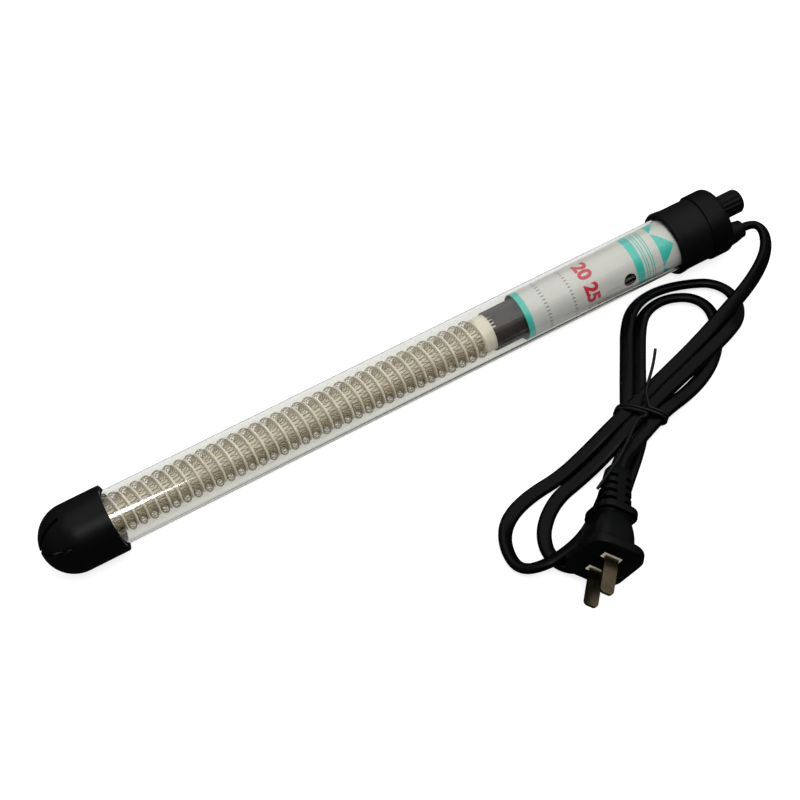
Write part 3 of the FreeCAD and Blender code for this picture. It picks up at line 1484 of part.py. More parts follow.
def plug_body():
    body = new_body("plug_body_solid")
    face = ("sizes.plug_face_width", "sizes.plug_face_height", "sizes.plug_face_corner")
    waist = ("sizes.plug_waist_width", "sizes.plug_waist_height", "sizes.plug_waist_corner")
    shoulder = ("sizes.plug_shoulder_width", "sizes.plug_shoulder_height", "sizes.plug_shoulder_corner")
    root = ("sizes.relief_root_width", "sizes.relief_root_height", "sizes.relief_corner")
    tip = ("sizes.relief_tip_width", "sizes.relief_tip_height", "sizes.relief_corner")
    shoulder_end = "sizes.plug_shoulder_at + sizes.plug_shoulder_length"
    plate = rounded_outline(body, "plug_plate", *face, "0")
    pad(body, plate, "plug_plate_pad", "sizes.plug_face_thickness")
    doc.recompute()
    plate_back = rounded_outline(body, "plug_plate_back",
                                 "(sizes.plug_face_width - sizes.plug_back_step_width)",
                                 "(sizes.plug_face_height - sizes.plug_back_step_height)",
                                 "sizes.plug_back_corner", "sizes.plug_face_thickness")
    narrow = rounded_outline(body, "plug_narrow", *waist, "sizes.plug_waist_at")
    shoulder_foot = rounded_outline(body, "plug_shoulder_foot", *waist, "sizes.plug_shoulder_at")
    loft(body, "plug_grip", plate_back, [narrow, shoulder_foot])
    doc.recompute()
    flange = rounded_outline(body, "plug_shoulder", *shoulder, "sizes.plug_shoulder_at")
    pad(body, flange, "plug_shoulder_pad", "sizes.plug_shoulder_length")
    doc.recompute()
    relief_root = rounded_outline(body, "relief_root", *root, shoulder_end)
    relief_tip = rounded_outline(body, "relief_tip", *tip, "sizes.plug_length")
    loft(body, "plug_relief", relief_root, [relief_tip])
    doc.recompute()
    for side, sign in (("upper", ""), ("lower", "-")):
        for i in range(int(size("relief_slot_count"))):
            at = "(%s + sizes.relief_slot_start + %d * sizes.relief_slot_pitch)" % (shoulder_end, i)
            deep = "sizes.relief_slot_floor"
            far = "sizes.relief_root_width"
            corners = [
                (at, sign + deep),
                ("%s + sizes.relief_slot_width" % at, sign + deep),
                ("%s + sizes.relief_slot_width" % at, sign + far),
                (at, sign + far),
            ]
            slot = outline(body, "relief_slot_%s%d" % (side, i), "XY_Plane", corners)
            pocket(body, slot, "relief_slot_%s%d_cut" % (side, i),
                   "sizes.relief_slot_height", midplane=True)
    body.Placement = plug_frame()
    doc.recompute()
    return body


def placed(label, shape):
    """A solid drawn in the plug's frame, put in its place."""
    piece = made(label, shape)
    piece.Placement = plug_frame()
    return piece


def blade_shape(sign):
    """One blade with rounded tip corners, and its root inside the plug."""
    width = size("blade_width")
    thick = size("blade_thickness")
    z = sign * size("blade_spacing") / 2
    blade = Part.makeBox(size("blade_length") + size("blade_root"), width, thick,
                         Vector(-size("blade_length"), -width / 2, z - thick / 2))
    tips = [edge for edge in blade.Edges
            if abs(edge.CenterOfMass.x + size("blade_length")) < 1e-6
            and abs(abs(edge.CenterOfMass.y) - width / 2) < 1e-6]
    return blade.makeFillet(size("blade_corner"), tips)


def seat_shape(sign):
    """Pale insulating carrier round a blade's root, standing a little proud of the face."""
    margin = size("blade_seat_margin")
    width = size("blade_width") + 2 * margin
    thick = size("blade_thickness") + 2 * margin
    z = sign * size("blade_spacing") / 2
    proud = size("blade_seat_proud")
    return Part.makeBox(proud + size("blade_seat_depth"), width, thick,
                        Vector(-proud, -width / 2, z - thick / 2))


def plug():
    body = plug_body()
    blades = {sign: blade_shape(sign) for sign in (1, -1)}
    seats = {sign: seat_shape(sign) for sign in (1, -1)}
    local = body.Shape.copy()
    local.Placement = Placement()
    for sign in (1, -1):
        local = local.cut(seats[sign]).cut(blades[sign])
    placed("plug_body", local)
    # the plug is rolled over, so its own -z side is up
    placed("plug_blade_upper", blades[-1])
    placed("plug_blade_lower", blades[1])
    carriers = [seats[sign].cut(blades[sign]) for sign in (1, -1)]
    placed("plug_blade_seat", Part.Compound(carriers))


glass_tube()
foot_guard()
foot_pad()
ceramic_core()
heating_coil()
return_lead()
winding_lead()
insulating_sleeve()
label_liner()
lamp_y, lamp_z = thermostat_frame()
for label, y, thickness in (
    ("leaf_anchor", "sizes.leaf_y", "sizes.leaf_thickness"),
    ("bimetal_anchor", "sizes.bimetal_y", "sizes.bimetal_thickness"),
):
    anchor(label, y, thickness)
contact_leaf()
bimetal_strip()
contacts()
anchor_screws()
snap_magnet()
adjusting_screw()
screw_bush()
spindle()
spindle_bush()
spindle_seal()
knob()
tube_stopper()
head_sleeve()
head_cap()
cord_gland()
resistor_end = lamp_and_resistor(lamp_y, lamp_z)
live_wire()
neutral_wire(resistor_end, lamp_y, lamp_z)
power_cord()
inner_cord()
twist_tie()
plug()

NODES = [
    "glass_tube", "foot_guard", "foot_pad", "ceramic_core", "heating_coil", "return_lead",
    "winding_lead", "insulating_sleeve", "label_liner", "thermostat_frame", "leaf_anchor",
    "bimetal_anchor", "contact_leaf", "leaf_contact", "bimetal_strip", "bimetal_contact",
    "anchor_screws", "snap_magnet", "adjusting_screw", "screw_bush", "spindle", "spindle_bush",
    "spindle_seal", "knob", "tube_stopper", "head_sleeve", "head_cap", "cord_gland", "neon_lamp",
    "lamp_resistor", "live_wire", "neutral_wire", "power_cord", "cord_in_gland", "twist_tie",
    "plug_body", "plug_blade_upper", "plug_blade_lower", "plug_blade_seat",
]

doc.recompute()
for thing in doc.Objects:
    bad = [state for state in thing.State if state in ("Invalid", "Error")]
    need(not bad, "%s is %s" % (thing.Label, bad))

by_label = {thing.Label: thing for thing in doc.Objects}
for node in NODES:
    shape = by_label[node].Shape
    need(not shape.isNull() and shape.isValid(), node + " has no valid shape")
    shape.exportStep("parts/%s.step" % node)
print("pieces", len(NODES))
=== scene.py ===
# %% [markdown]
# # A submersible aquarium heater
#
# A glass tube lies on its side. A ceramic rod inside carries a winding of fine resistance wire,
# a printed liner hides the thermostat, and black mouldings close both ends. A flat lead leaves
# the head beside the temperature knob, is tied in a small bundle, and ends in a two-pin plug.
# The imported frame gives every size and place. This script gives the pieces their finish, and
# models anew those whose smooth or soft shape the frame holds only roughly.

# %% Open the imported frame
import math

import bpy
from mathutils import Matrix, Vector


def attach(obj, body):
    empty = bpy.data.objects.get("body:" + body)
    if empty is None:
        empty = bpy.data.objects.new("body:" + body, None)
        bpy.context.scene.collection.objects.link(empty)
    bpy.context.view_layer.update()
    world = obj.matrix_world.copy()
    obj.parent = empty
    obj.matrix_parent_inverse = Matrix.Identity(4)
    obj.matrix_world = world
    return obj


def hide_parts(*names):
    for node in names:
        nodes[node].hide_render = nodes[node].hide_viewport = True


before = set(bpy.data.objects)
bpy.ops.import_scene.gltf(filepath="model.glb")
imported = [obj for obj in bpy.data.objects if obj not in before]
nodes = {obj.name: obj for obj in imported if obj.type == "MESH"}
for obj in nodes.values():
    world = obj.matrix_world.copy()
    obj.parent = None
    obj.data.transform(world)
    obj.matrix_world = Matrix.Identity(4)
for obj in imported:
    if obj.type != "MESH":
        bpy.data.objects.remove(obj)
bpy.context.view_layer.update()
print("nodes in the frame:", len(nodes))

# %% [markdown]
# ## Units and small helpers
#
# Lengths are written in millimetres and turned to metres once, where a piece is made. The tube's
# axis runs along X, 15.2 mm over the floor. Round the tube, an angle is counted from the top
# towards the side that faces the camera.

# %% Units, colours and selection
MM = 0.001
AXIS = 15.2


def linear(code):
    """A hex colour as the linear red, green, blue and alpha that shaders want."""
    parts = [int(code[i:i + 2], 16) / 255 for i in (1, 3, 5)]
    parts = [c / 12.92 if c <= 0.04045 else ((c + 0.055) / 1.055) ** 2.4 for c in parts]
    return parts + [1.0]


def only(*pieces):
    """Select these pieces and nothing else; the last one is active."""
    bpy.ops.object.select_all(action="DESELECT")
    for piece in pieces:
        piece.select_set(True)
    bpy.context.view_layer.objects.active = pieces[-1]


def edit(piece):
    """Go into edit mode with the whole mesh selected."""
    only(piece)
    bpy.ops.object.mode_set(mode="EDIT")
    bpy.ops.mesh.select_all(action="SELECT")


def tidy(smooth_angle=35, merge=0.0005):
    """In edit mode: close seams, turn faces outwards, leave, and smooth all but sharp edges."""
    bpy.ops.mesh.select_all(action="SELECT")
    bpy.ops.mesh.remove_doubles(threshold=merge * MM)
    bpy.ops.mesh.normals_make_consistent(inside=False)
    bpy.ops.object.mode_set(mode="OBJECT")
    bpy.ops.object.shade_smooth_by_angle(angle=math.radians(smooth_angle))
    return bpy.context.object


def named(piece, name):
    """Give the piece and its mesh one name."""
    piece.name = piece.data.name = name
    return piece


def settled(piece):
    """Put the piece's place into its mesh."""
    only(piece)
    bpy.ops.object.transform_apply(location=True, rotation=True, scale=True)
    return piece


def modified(piece, kind, **settings):
    """Add a modifier with these settings and apply it."""
    only(piece)
    modifier = piece.modifiers.new(kind.lower(), kind)
    for key, value in settings.items():
        setattr(modifier, key, value)
    bpy.ops.object.modifier_apply(modifier=modifier.name)


print("the tube's axis lies", AXIS, "mm over the floor")

# %% [markdown]
# ## Turned pieces
#
# Glass tubes, bungs and caps are all round about an axis. One point is extruded along the
# profile, which is then spun about the axis. This is what a lathe does, and it needs fewer
# steps than shaping a cylinder.

# %% Turning a profile
def arc(centre_x, centre_r, radius, start, end, count):
    """Points of a profile along an arc, in degrees from the +X direction."""
    turns = [math.radians(start + (end - start) * i / count) for i in range(count + 1)]
    return [(centre_x + radius * math.cos(t), centre_r + radius * math.sin(t)) for t in turns]


def turned(name, profile, y=0.0, z=AXIS, steps=96, smooth_angle=35):
    """A piece of revolution from (station, radius) points in mm about an axis along X."""
    bpy.ops.object.select_all(action="DESELECT")
    bpy.ops.mesh.primitive_plane_add(size=MM)
    bpy.ops.object.mode_set(mode="EDIT")
    bpy.ops.mesh.merge(type="CENTER")
    at = (0.0, -z)
    for i, (x, r) in enumerate(profile):
        move = ((x - at[0]) * MM, 0, (r - at[1]) * MM)
        if i == 0:
            bpy.ops.transform.translate(value=(x * MM, y * MM, (z + r) * MM))
        else:
            bpy.ops.mesh.extrude_region_move(TRANSFORM_OT_translate={"value": move})
        at = (x, r)
    bpy.ops.mesh.select_all(action="SELECT")
    bpy.ops.mesh.spin(steps=steps, angle=math.tau, center=(0, y * MM, z * MM), axis=(1, 0, 0))
    return named(tidy(smooth_angle), name)


print("a profile is turned in 96 steps where nothing else is said")

# %% [markdown]
# ## Camera
#
# The photograph looks down steeply, and its long lens flattens the tube. The camera was found by
# fitting the tube's known stations, so it has no shift and no roll.

# %% Camera
LENS = 119.2
CAMERA_AT = (-310.9, -524.4, 978.9)
CAMERA_DOWN = math.radians(58.277)
CAMERA_HEADING = (0.506, 0.8625)

camera = bpy.data.objects.new("camera", bpy.data.cameras.new("camera"))
bpy.context.scene.collection.objects.link(camera)
bpy.context.scene.camera = camera
camera.data.lens = LENS
camera.location = Vector(CAMERA_AT) * MM
level = math.cos(CAMERA_DOWN)
sight = Vector((CAMERA_HEADING[0] * level, CAMERA_HEADING[1] * level, -math.sin(CAMERA_DOWN)))
camera.rotation_mode = "QUATERNION"
camera.rotation_quaternion = sight.to_track_quat("-Z", "Y")
bpy.context.scene.view_settings.view_transform = "Standard"
print("camera looks along", [round(c, 3) for c in sight])

# %% [markdown]
# ## Materials
#
# Each material is built from a Principled shader. A slow noise varies its tone, and a fine one
# its gloss and its surface, both sized in millimetres on the real thing. Short helpers add the
# nodes, so that a finish reads as one line.

# %% Node helpers
def add(material, kind, inputs=None, **settings):
    """Add a node. An input is a value, or an output socket that is linked to it."""
    made = material.node_tree.nodes.new(kind)
    for key, value in settings.items():
        setattr(made, key, value)
    for key, value in (inputs or {}).items():
        if isinstance(value, bpy.types.NodeSocket):
            material.node_tree.links.new(value, made.inputs[key])
        else:
            made.inputs[key].default_value = value
    return made


def maths(material, kind, *values, **settings):
    """The result of one Math node."""
    return add(material, "ShaderNodeMath", dict(enumerate(values)), operation=kind,
               **settings).outputs[0]


def mixed(material, factor, first, second):
    """A colour between two others."""
    return add(material, "ShaderNodeMix", {"Factor": factor, "A": first, "B": second},
               data_type="RGBA").outputs["Result"]


def noise(material, place, size, detail):
    """Noise whose patches are about this many mm wide."""
    return add(material, "ShaderNodeTexNoise",
               {"Vector": place, "Scale": 1 / size, "Detail": detail}).outputs["Fac"]


def blank(name):
    """A new material, its Principled shader and the place in millimetres that patterns read."""
    material = bpy.data.materials.new(name)
    material.use_nodes = True
    shader = material.node_tree.nodes["Principled BSDF"]
    place = add(material, "ShaderNodeTexCoord").outputs["Object"]
    in_mm = add(material, "ShaderNodeVectorMath", {0: place, 1: (1000,) * 3},
                operation="MULTIPLY")
    return material, shader, in_mm.outputs[0]


def surface(name, light, dark, gloss, cloud, grain, depth, metallic=0.0, **values):
    """A finish between two tones. cloud and grain are the sizes in mm of tone patches and
    texture, depth is the texture's height in mm, and gloss the least and most roughness."""
    material, shader, in_mm = blank(name)
    tone = mixed(material, noise(material, in_mm, cloud, 3), linear(dark), linear(light))
    texture = noise(material, in_mm, grain, 4)
    rough = add(material, "ShaderNodeMapRange",
                {"Value": texture, "To Min": gloss[0], "To Max": gloss[1]})
    relief = add(material, "ShaderNodeBump",
                 {"Height": texture, "Distance": depth * MM, "Strength": 1.0})
    links = material.node_tree.links
    links.new(tone, shader.inputs["Base Color"])
    links.new(rough.outputs[0], shader.inputs["Roughness"])
    links.new(relief.outputs[0], shader.inputs["Normal"])
    shader.inputs["Metallic"].default_value = metallic
    for key, value in values.items():
        shader.inputs[key.replace("_", " ")].default_value = value
    return material


def dress(piece, material):
    """Give a piece one material."""
    piece.data.materials.clear()
    piece.data.materials.append(material)


print("a finish is a principled shader, two noises and a bump")

# %% [markdown]
# ## Black mouldings
#
# Almost everything black on the heater is a different plastic or rubber. They differ less in
# tone than in gloss, so each has its own roughness and its own strength of highlight.

# %% Black finishes
# Injection-moulded polypropylene: spark-eroded satin, so highlights are wide and dim.
guard_plastic = surface("satin black polypropylene", "#08080B", "#050507", (0.34, 0.44), 9, 0.25,
                        0.012, Specular_IOR_Level=0.17)
# Moulded rubber: duller, with a faint bluish bloom of talc in patches.
rubber = surface("black moulded rubber", "#0C0C10", "#060608", (0.40, 0.54), 5, 0.3, 0.02,
                 Specular_IOR_Level=0.2)
# Hard cap plastic: a little glossier than the rubber beside it.
cap_plastic = surface("black nylon cap", "#08080A", "#050506", (0.36, 0.46), 8, 0.25, 0.01,
                      Specular_IOR_Level=0.16)
# Cord jacket: extruded soft PVC, smooth and fairly glossy, so its edges show thin light lines.
jacket = surface("extruded black PVC jacket", "#030304", "#020203", (0.24, 0.34), 12, 0.8, 0.012,
                 Specular_IOR_Level=0.13)
# Plug body: the same PVC, moulded, with a duller skin.
plug_plastic = surface("moulded black PVC", "#050606", "#030404", (0.34, 0.46), 8, 0.35, 0.015,
                       Specular_IOR_Level=0.16)
print("black finishes:", guard_plastic.name, rubber.name, cap_plastic.name, jacket.name,
      plug_plastic.name)

# %% [markdown]
# ## Curves
#
# The lead, the winding and the tie all begin as one spline. Its points can be read back as a
# line, or a round bevel makes it a wire.

# %% Splines
def curve_of(name, points, kind, **settings):
    """A curve object whose one spline has these points, in mm."""
    curve = bpy.data.curves.new(name, "CURVE")
    curve.dimensions = "3D"
    for key, value in settings.items():
        setattr(curve, key, value)
    spline = curve.splines.new(kind)
    spline.points.add(len(points) - 1)
    for point, at in zip(spline.points, points):
        point.co = (*(c * MM for c in at), 1)
    if kind == "NURBS":
        spline.order_u = 3
        spline.use_endpoint_u = True
    holder = bpy.data.objects.new(name, curve)
    bpy.context.scene.collection.objects.link(holder)
    return holder


def line_of(name, points, resolution):
    """Points read from a smooth NURBS spline that has these control points."""
    holder = curve_of(name, points, "NURBS", resolution_u=resolution)
    mesh = bpy.data.meshes.new_from_object(holder)
    line = [v.co.copy() for v in mesh.vertices]
    bpy.data.objects.remove(holder)
    return line


print("ready to draw splines")

# %% [markdown]
# ## The lead
#
# The lead is a flat two-core cable, 6.6 mm wide and 3.7 mm thick. Such a cable bends easily only
# across its thin side, so it stands on edge in the tight bights and lies flat on long stretches.
# Its route is one smooth NURBS spline through the frame's route.

# %% Route of the lead
LEAD_WIDE = 6.6
LEAD_THICK = 3.7
LEAD_ROUTE = [
    (167.5, -9.9, 15.2), (172.8, -9.9, 15.2), (175.9, -14.2, 14.1), (174.0, -20.6, 12.2),
    (168.0, -26.9, 10.4), (156.5, -33.4, 8.7), (140.0, -39.7, 7.8), (118.5, -47.8, 7.9),
    (97.0, -54.6, 8.5), (77.3, -60.9, 9.0), (64.0, -64.5, 8.4), (49.5, -68.0, 4.4),
    (34.0, -71.7, 2.3), (17.5, -72.9, 2.25), (5.0, -77.0, 2.25), (-2.4, -84.5, 2.25),
    (-5.4, -94.5, 2.25), (-3.8, -102.0, 3.5), (3.2, -106.0, 6.6), (12.5, -106.2, 7.6),
    (23.5, -103.3, 5.0), (34.0, -97.8, 2.4), (47.5, -87.5, 2.25), (61.8, -77.0, 2.3),
    (69.5, -69.8, 3.3), (74.8, -60.7, 3.9), (84.0, -46.3, 2.8), (93.0, -32.5, 2.25),
    (99.5, -22.5, 2.25), (106.5, -15.4, 2.25), (116.0, -12.6, 2.25), (126.5, -13.5, 2.25),
    (136.5, -16.9, 2.25), (144.6, -21.0, 2.25), (149.3, -28.0, 2.25), (149.3, -36.0, 2.25),
    (144.5, -42.9, 3.8), (136.5, -48.0, 7.0), (123.0, -52.7, 7.8), (108.0, -57.1, 8.2),
    (93.0, -61.6, 8.7), (79.0, -65.8, 9.0), (67.0, -69.9, 8.5), (53.5, -74.0, 4.6),
    (40.0, -76.9, 2.3), (28.5, -79.3, 2.25), (19.5, -84.4, 2.25), (12.4, -91.9, 2.25),
    (9.4, -101.5, 2.25), (13.0, -110.2, 2.25), (22.3, -114.3, 2.25), (31.8, -111.6, 2.25),
    (40.5, -103.3, 2.25), (53.5, -90.8, 2.25), (67.5, -79.0, 2.4), (74.7, -71.7, 3.4),
    (79.4, -63.5, 3.9), (88.3, -49.3, 2.8), (97.2, -35.5, 2.25), (103.3, -26.5, 2.25),
    (109.3, -20.4, 2.25), (117.5, -18.0, 2.25), (125.8, -19.2, 2.25), (133.4, -23.6, 2.25),
    (136.9, -31.0, 2.25), (135.2, -39.5, 2.25), (130.2, -47.7, 2.25), (123.0, -55.2, 2.25),
    (113.0, -61.0, 2.4), (101.5, -65.3, 4.6), (89.5, -68.6, 8.0), (78.5, -72.6, 9.0),
    (65.8, -78.4, 11.4), (56.43, -82.33, 14.16), (52.53, -86.88, 14.53),
]
LEAD_RESOLUTION = 10
lead_line = line_of("lead route", LEAD_ROUTE, LEAD_RESOLUTION)

# %% [markdown]
# ## Sweep of the flat section
#
# An extruded jacket has the same section everywhere, two half circles joined by short flats.
# The section is swept along the points read from the spline, and its tilt changes slowly from
# point to point. A bevelled curve can't do this, because its twist can't be set in degrees.

# %% Flat lead
# (number of the route point, tilt in degrees: 0 lies flat, 90 stands on edge)
LEAD_TILT = [(0, 55), (3, 50), (5, 30), (7, 5), (11, 0), (13, 5), (15, 40), (18, 40), (21, 15),
             (24, 0), (27, 25), (30, 50), (34, 45), (37, 15), (41, 0), (45, 5), (48, 20),
             (51, 15), (55, 0), (58, 25), (61, 50), (65, 40), (69, 10), (72, 0), (74, 0)]
FLOOR_PLAY = 0.05


def along(table, at):
    """Value of a (key, value) table at a key between its rows, eased."""
    for (a, low), (b, high) in zip(table, table[1:]):
        if at <= b:
            t = (at - a) / (b - a)
            t = t * t * (3 - 2 * t)
            return low + (high - low) * t
    return table[-1][1]


def flat_oval(wide, thick, count):
    """The jacket's section: two half circles joined by short flats."""
    flat = (wide - thick) / 2
    turns = [math.tau * (i + 0.5) / count for i in range(count)]
    return [(thick / 2 * math.cos(t) + math.copysign(flat, math.cos(t)), thick / 2 * math.sin(t))
            for t in turns]


def swept(name, line, outline, tilt_at):
    """A closed tube along a line; tilt_at(share) is the section's tilt there, in degrees.
    A ring that would dip into the floor is lifted."""
    verts, faces, count = [], [], len(outline)
    for i, at in enumerate(line):
        tilt = math.radians(tilt_at(i / (len(line) - 1)))
        before, after = line[max(i - 1, 0)], line[min(i + 1, len(line) - 1)]
        heading = (after - before).normalized()
        side = heading.cross(Vector((0, 0, 1))).normalized()
        up = side.cross(heading)
        wide = side * math.cos(tilt) + up * math.sin(tilt)
        thick = up * math.cos(tilt) - side * math.sin(tilt)
        ring = [at + (wide * a + thick * b) * MM for a, b in outline]
        lift = max(FLOOR_PLAY * MM - min(spot.z for spot in ring), 0)
        verts += [spot + Vector((0, 0, lift)) for spot in ring]
    for i in range(len(line) - 1):
        for k in range(count):
            a, b = i * count + k, i * count + (k + 1) % count
            faces.append((a, b, b + count, a + count))
    last = (len(line) - 1) * count
    faces += [tuple(range(count))[::-1], tuple(range(last, last + count))]
    mesh = bpy.data.meshes.new(name)
    mesh.from_pydata(verts, [], faces)
    piece = bpy.data.objects.new(name, mesh)
    bpy.context.scene.collection.objects.link(piece)
    edit(piece)
    return named(tidy(50, 0.0001), name)


lead = swept("lead", lead_line, flat_oval(LEAD_WIDE, LEAD_THICK, 20),
             lambda share: along(LEAD_TILT, share * (len(LEAD_ROUTE) - 1)))
dress(lead, jacket)
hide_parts("power_cord")
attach(lead, "base")
print("lead faces:", len(lead.data.polygons))

# %% [markdown]
# ## The glass tube
#
# Borosilicate tube drawn to 25 mm with a wall of 1.2 mm, its foot blown round. Both faces of the
# wall are modelled, because the bright and dark lines along its edges come from light that bends
# twice in that wall.

# %% Glass tube
GLASS_R = 12.5
GLASS_WALL = 1.2
DOME_X = -158.0
MOUTH_X = 155.5
MOUTH_ROUND = 0.3
RING_X = 100
inner_r = GLASS_R - GLASS_WALL
mouth_x = MOUTH_X - MOUTH_ROUND
glass_profile = (
    arc(DOME_X, 0, GLASS_R, 180, 90, 24)
    + [(-RING_X, GLASS_R), (0, GLASS_R), (RING_X, GLASS_R)]
    + arc(mouth_x, GLASS_R - MOUTH_ROUND, MOUTH_ROUND, 90, 0, 3)
    + arc(mouth_x, inner_r + MOUTH_ROUND, MOUTH_ROUND, 0, -90, 3)
    + [(RING_X, inner_r), (0, inner_r), (-RING_X, inner_r)]
    + arc(DOME_X, 0, inner_r, 90, 180, 24)
)
glass_tube = turned("glass", glass_profile, steps=128)
print("glass profile:", len(glass_profile), "points")

# %% [markdown]
# ## Clear glass
#
# Clear borosilicate with a trace of grey, and smears that blur it here and there. Lamps reach
# the pieces inside through a transparent shader for shadow rays, because bent light from lamps
# would be noise.

# %% Glass
GLASS_IOR = 1.474
HAZE = 0.03
glass, glass_shader, in_mm = blank("clear borosilicate glass")
glass_shader.inputs["Base Color"].default_value = linear("#F1F1ED")
glass_shader.inputs["IOR"].default_value = GLASS_IOR
glass_shader.inputs["Transmission Weight"].default_value = 1.0
haze = add(glass, "ShaderNodeMapRange", {"Value": noise(glass, in_mm, 18, 5), "From Min": 0.45,
                                         "To Min": 0.0, "To Max": HAZE})
glass.node_tree.links.new(haze.outputs[0], glass_shader.inputs["Roughness"])
clear = add(glass, "ShaderNodeBsdfTransparent", {"Color": linear("#FAFAF8")})
rays = add(glass, "ShaderNodeLightPath")
through = add(glass, "ShaderNodeMixShader",
              {0: rays.outputs["Is Shadow Ray"], 1: glass_shader.outputs[0], 2: clear.outputs[0]})
glass_end = glass.node_tree.nodes["Material Output"]
glass.node_tree.links.new(through.outputs[0], glass_end.inputs["Surface"])
dress(glass_tube, glass)
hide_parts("glass_tube")
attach(glass_tube, "base")
print("glass faces:", len(glass_tube.data.polygons))

# %% [markdown]
# ## Cuts and slanted ends
#
# Slots and windows are pressed or milled after a piece has its shape, and a Boolean modifier
# does the same with a cutter. A cutter for the tube's parts is made on the X axis, turned round
# it, and then lifted to the tube. Soft ends that sit askew are shifted point by point.

# %% Cutters
def block(sides, at):
    """A cutter with these sides, centred here, both in mm."""
    bpy.ops.object.select_all(action="DESELECT")
    bpy.ops.mesh.primitive_cube_add(size=1)
    cutter = bpy.context.object
    cutter.scale = [c * MM for c in sides]
    cutter.location = [c * MM for c in at]
    return settled(cutter)


def round_tube(cutter, turn):
    """Turn a cutter round the X axis, then lift it to the tube's axis."""
    cutter.data.transform(Matrix.Translation((0, 0, AXIS * MM))
                          @ Matrix.Rotation(math.radians(turn), 4, "X"))
    return cutter


def cut(piece, cutter):
    """Take the cutter's shape out of the piece, and the cutter away."""
    modified(piece, "BOOLEAN", object=cutter, operation="DIFFERENCE", solver="EXACT")
    bpy.data.objects.remove(cutter)


def slanted(piece, still_x, end_x, slant, turn):
    """Slant an end. Nothing moves at still_x; at end_x the side at this turn moves by slant."""
    for vertex in piece.data.vertices:
        share = max((vertex.co.x / MM - still_x) / (end_x - still_x), 0)
        round_it = math.atan2(-vertex.co.y, vertex.co.z - AXIS * MM)
        vertex.co.x += slant * MM * share ** 2 * math.cos(round_it - math.radians(turn))


print("ready to cut slots, notches and a window")

# %% [markdown]
# ## Foot guard
#
# A black cap with a round end protects the glass foot. Three thin cuts cross at its pole, so
# that six slots run up its dome and water reaches the glass. The wall is turned with its inside,
# then one cutter, turned from place to place, opens the slots. Its rim is cut at a slant, shorter
# on the side that faces up.

# %% Foot guard
RIM_X = -141.0
FOOT_X = -174.9
GRIP_X = -153.0
SLANT_FROM_X = -152.0
RIM_R = 15.2
RIM_SLANT = 4.2
RIM_SLANT_TURN = 25
SLOT_WIDE, SLOT_DEEP = 1.6, 11.0
SLOT_TURNS = (46, 106, 166)
bore_r = GLASS_R + 0.3
guard_profile = (
    arc(FOOT_X + RIM_R, 0, RIM_R, 180, 90, 22)
    + arc(RIM_X - 0.5, RIM_R - 0.5, 0.5, 90, 0, 4)
    + arc(RIM_X - 0.3, GLASS_R + 0.33, 0.3, 0, -90, 2)
    + [(GRIP_X, GLASS_R + 0.03), (GRIP_X - 0.3, bore_r)]
    + arc(DOME_X, 0, bore_r, 90, 180, 20)
)
foot_guard = turned("guard", guard_profile, steps=120)
for turn in SLOT_TURNS:
    cut(foot_guard, round_tube(block((2 * SLOT_DEEP, SLOT_WIDE, 34), (FOOT_X, 0, 0)), turn))
slanted(foot_guard, SLANT_FROM_X, RIM_X, -RIM_SLANT, RIM_SLANT_TURN)
modified(foot_guard, "BEVEL", width=0.25 * MM, segments=2, limit_method="ANGLE",
         angle_limit=math.radians(50))
edit(foot_guard)
tidy(35)
dress(foot_guard, guard_plastic)
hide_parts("foot_guard")
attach(foot_guard, "base")
print("guard faces:", len(foot_guard.data.polygons))

# %% [markdown]
# ## Ceramic core
#
# Pressed and fired steatite with a helical groove for the winding. A step-shaped profile one
# pitch long is wound up by a Screw modifier, which gives the ridge between the turns, and plain
# collars close both ends.

# %% Ceramic core
CORE_R = 5.5
CORE_BORE_R = 2
RIDGE_R = 8.3
COLLAR_R = 8.2
COLLAR_ROUND = 0.5
PITCH = 5.145
WINDING_X = -149.5
TURNS = 36
CORE_FOOT_X = -155
HEAD_COLLAR_X = 35.2
CORE_HEAD_X = 47
# Steatite is a dense cream ceramic with a dull, slightly grainy skin.
core_material = surface("fired steatite", "#FBF5E6", "#F0E7D2", (0.6, 0.8), 3.0, 0.35, 0.03)


def ridge():
    """One pitch of the core's outline, wound round the axis."""
    bpy.ops.object.select_all(action="DESELECT")
    bpy.ops.mesh.primitive_plane_add(size=MM)
    bpy.ops.object.mode_set(mode="EDIT")
    bpy.ops.mesh.merge(type="CENTER")
    steps = [(0, CORE_R), (3.95, CORE_R), (4.1, CORE_R + 0.35), (4.2, RIDGE_R - 0.2),
             (4.4, RIDGE_R), (4.8, RIDGE_R), (5.0, RIDGE_R - 0.2), (PITCH, CORE_R + 0.35)]
    bpy.ops.transform.translate(value=(0, 0, CORE_R * MM))
    for (x0, r0), (x1, r1) in zip(steps, steps[1:]):
        bpy.ops.mesh.extrude_region_move(
            TRANSFORM_OT_translate={"value": ((x1 - x0) * MM, 0, (r1 - r0) * MM)})
    bpy.ops.object.mode_set(mode="OBJECT")
    wound = bpy.context.object
    modified(wound, "SCREW", axis="X", screw_offset=PITCH * MM, iterations=TURNS, steps=36,
             render_steps=36, use_merge_vertices=True)
    edit(wound)
    bpy.ops.transform.translate(value=(WINDING_X * MM, 0, AXIS * MM))
    return tidy(40, 0.002)


def collar(name, foot, head, foot_round, head_round):
    """A plain ring of the core between two stations, its edges broken."""
    outer = [(foot, COLLAR_R - COLLAR_ROUND), (foot + foot_round, COLLAR_R),
             (head - head_round, COLLAR_R), (head, COLLAR_R - COLLAR_ROUND)]
    return turned(name, [(foot, CORE_BORE_R)] + outer + [(head, CORE_BORE_R)])


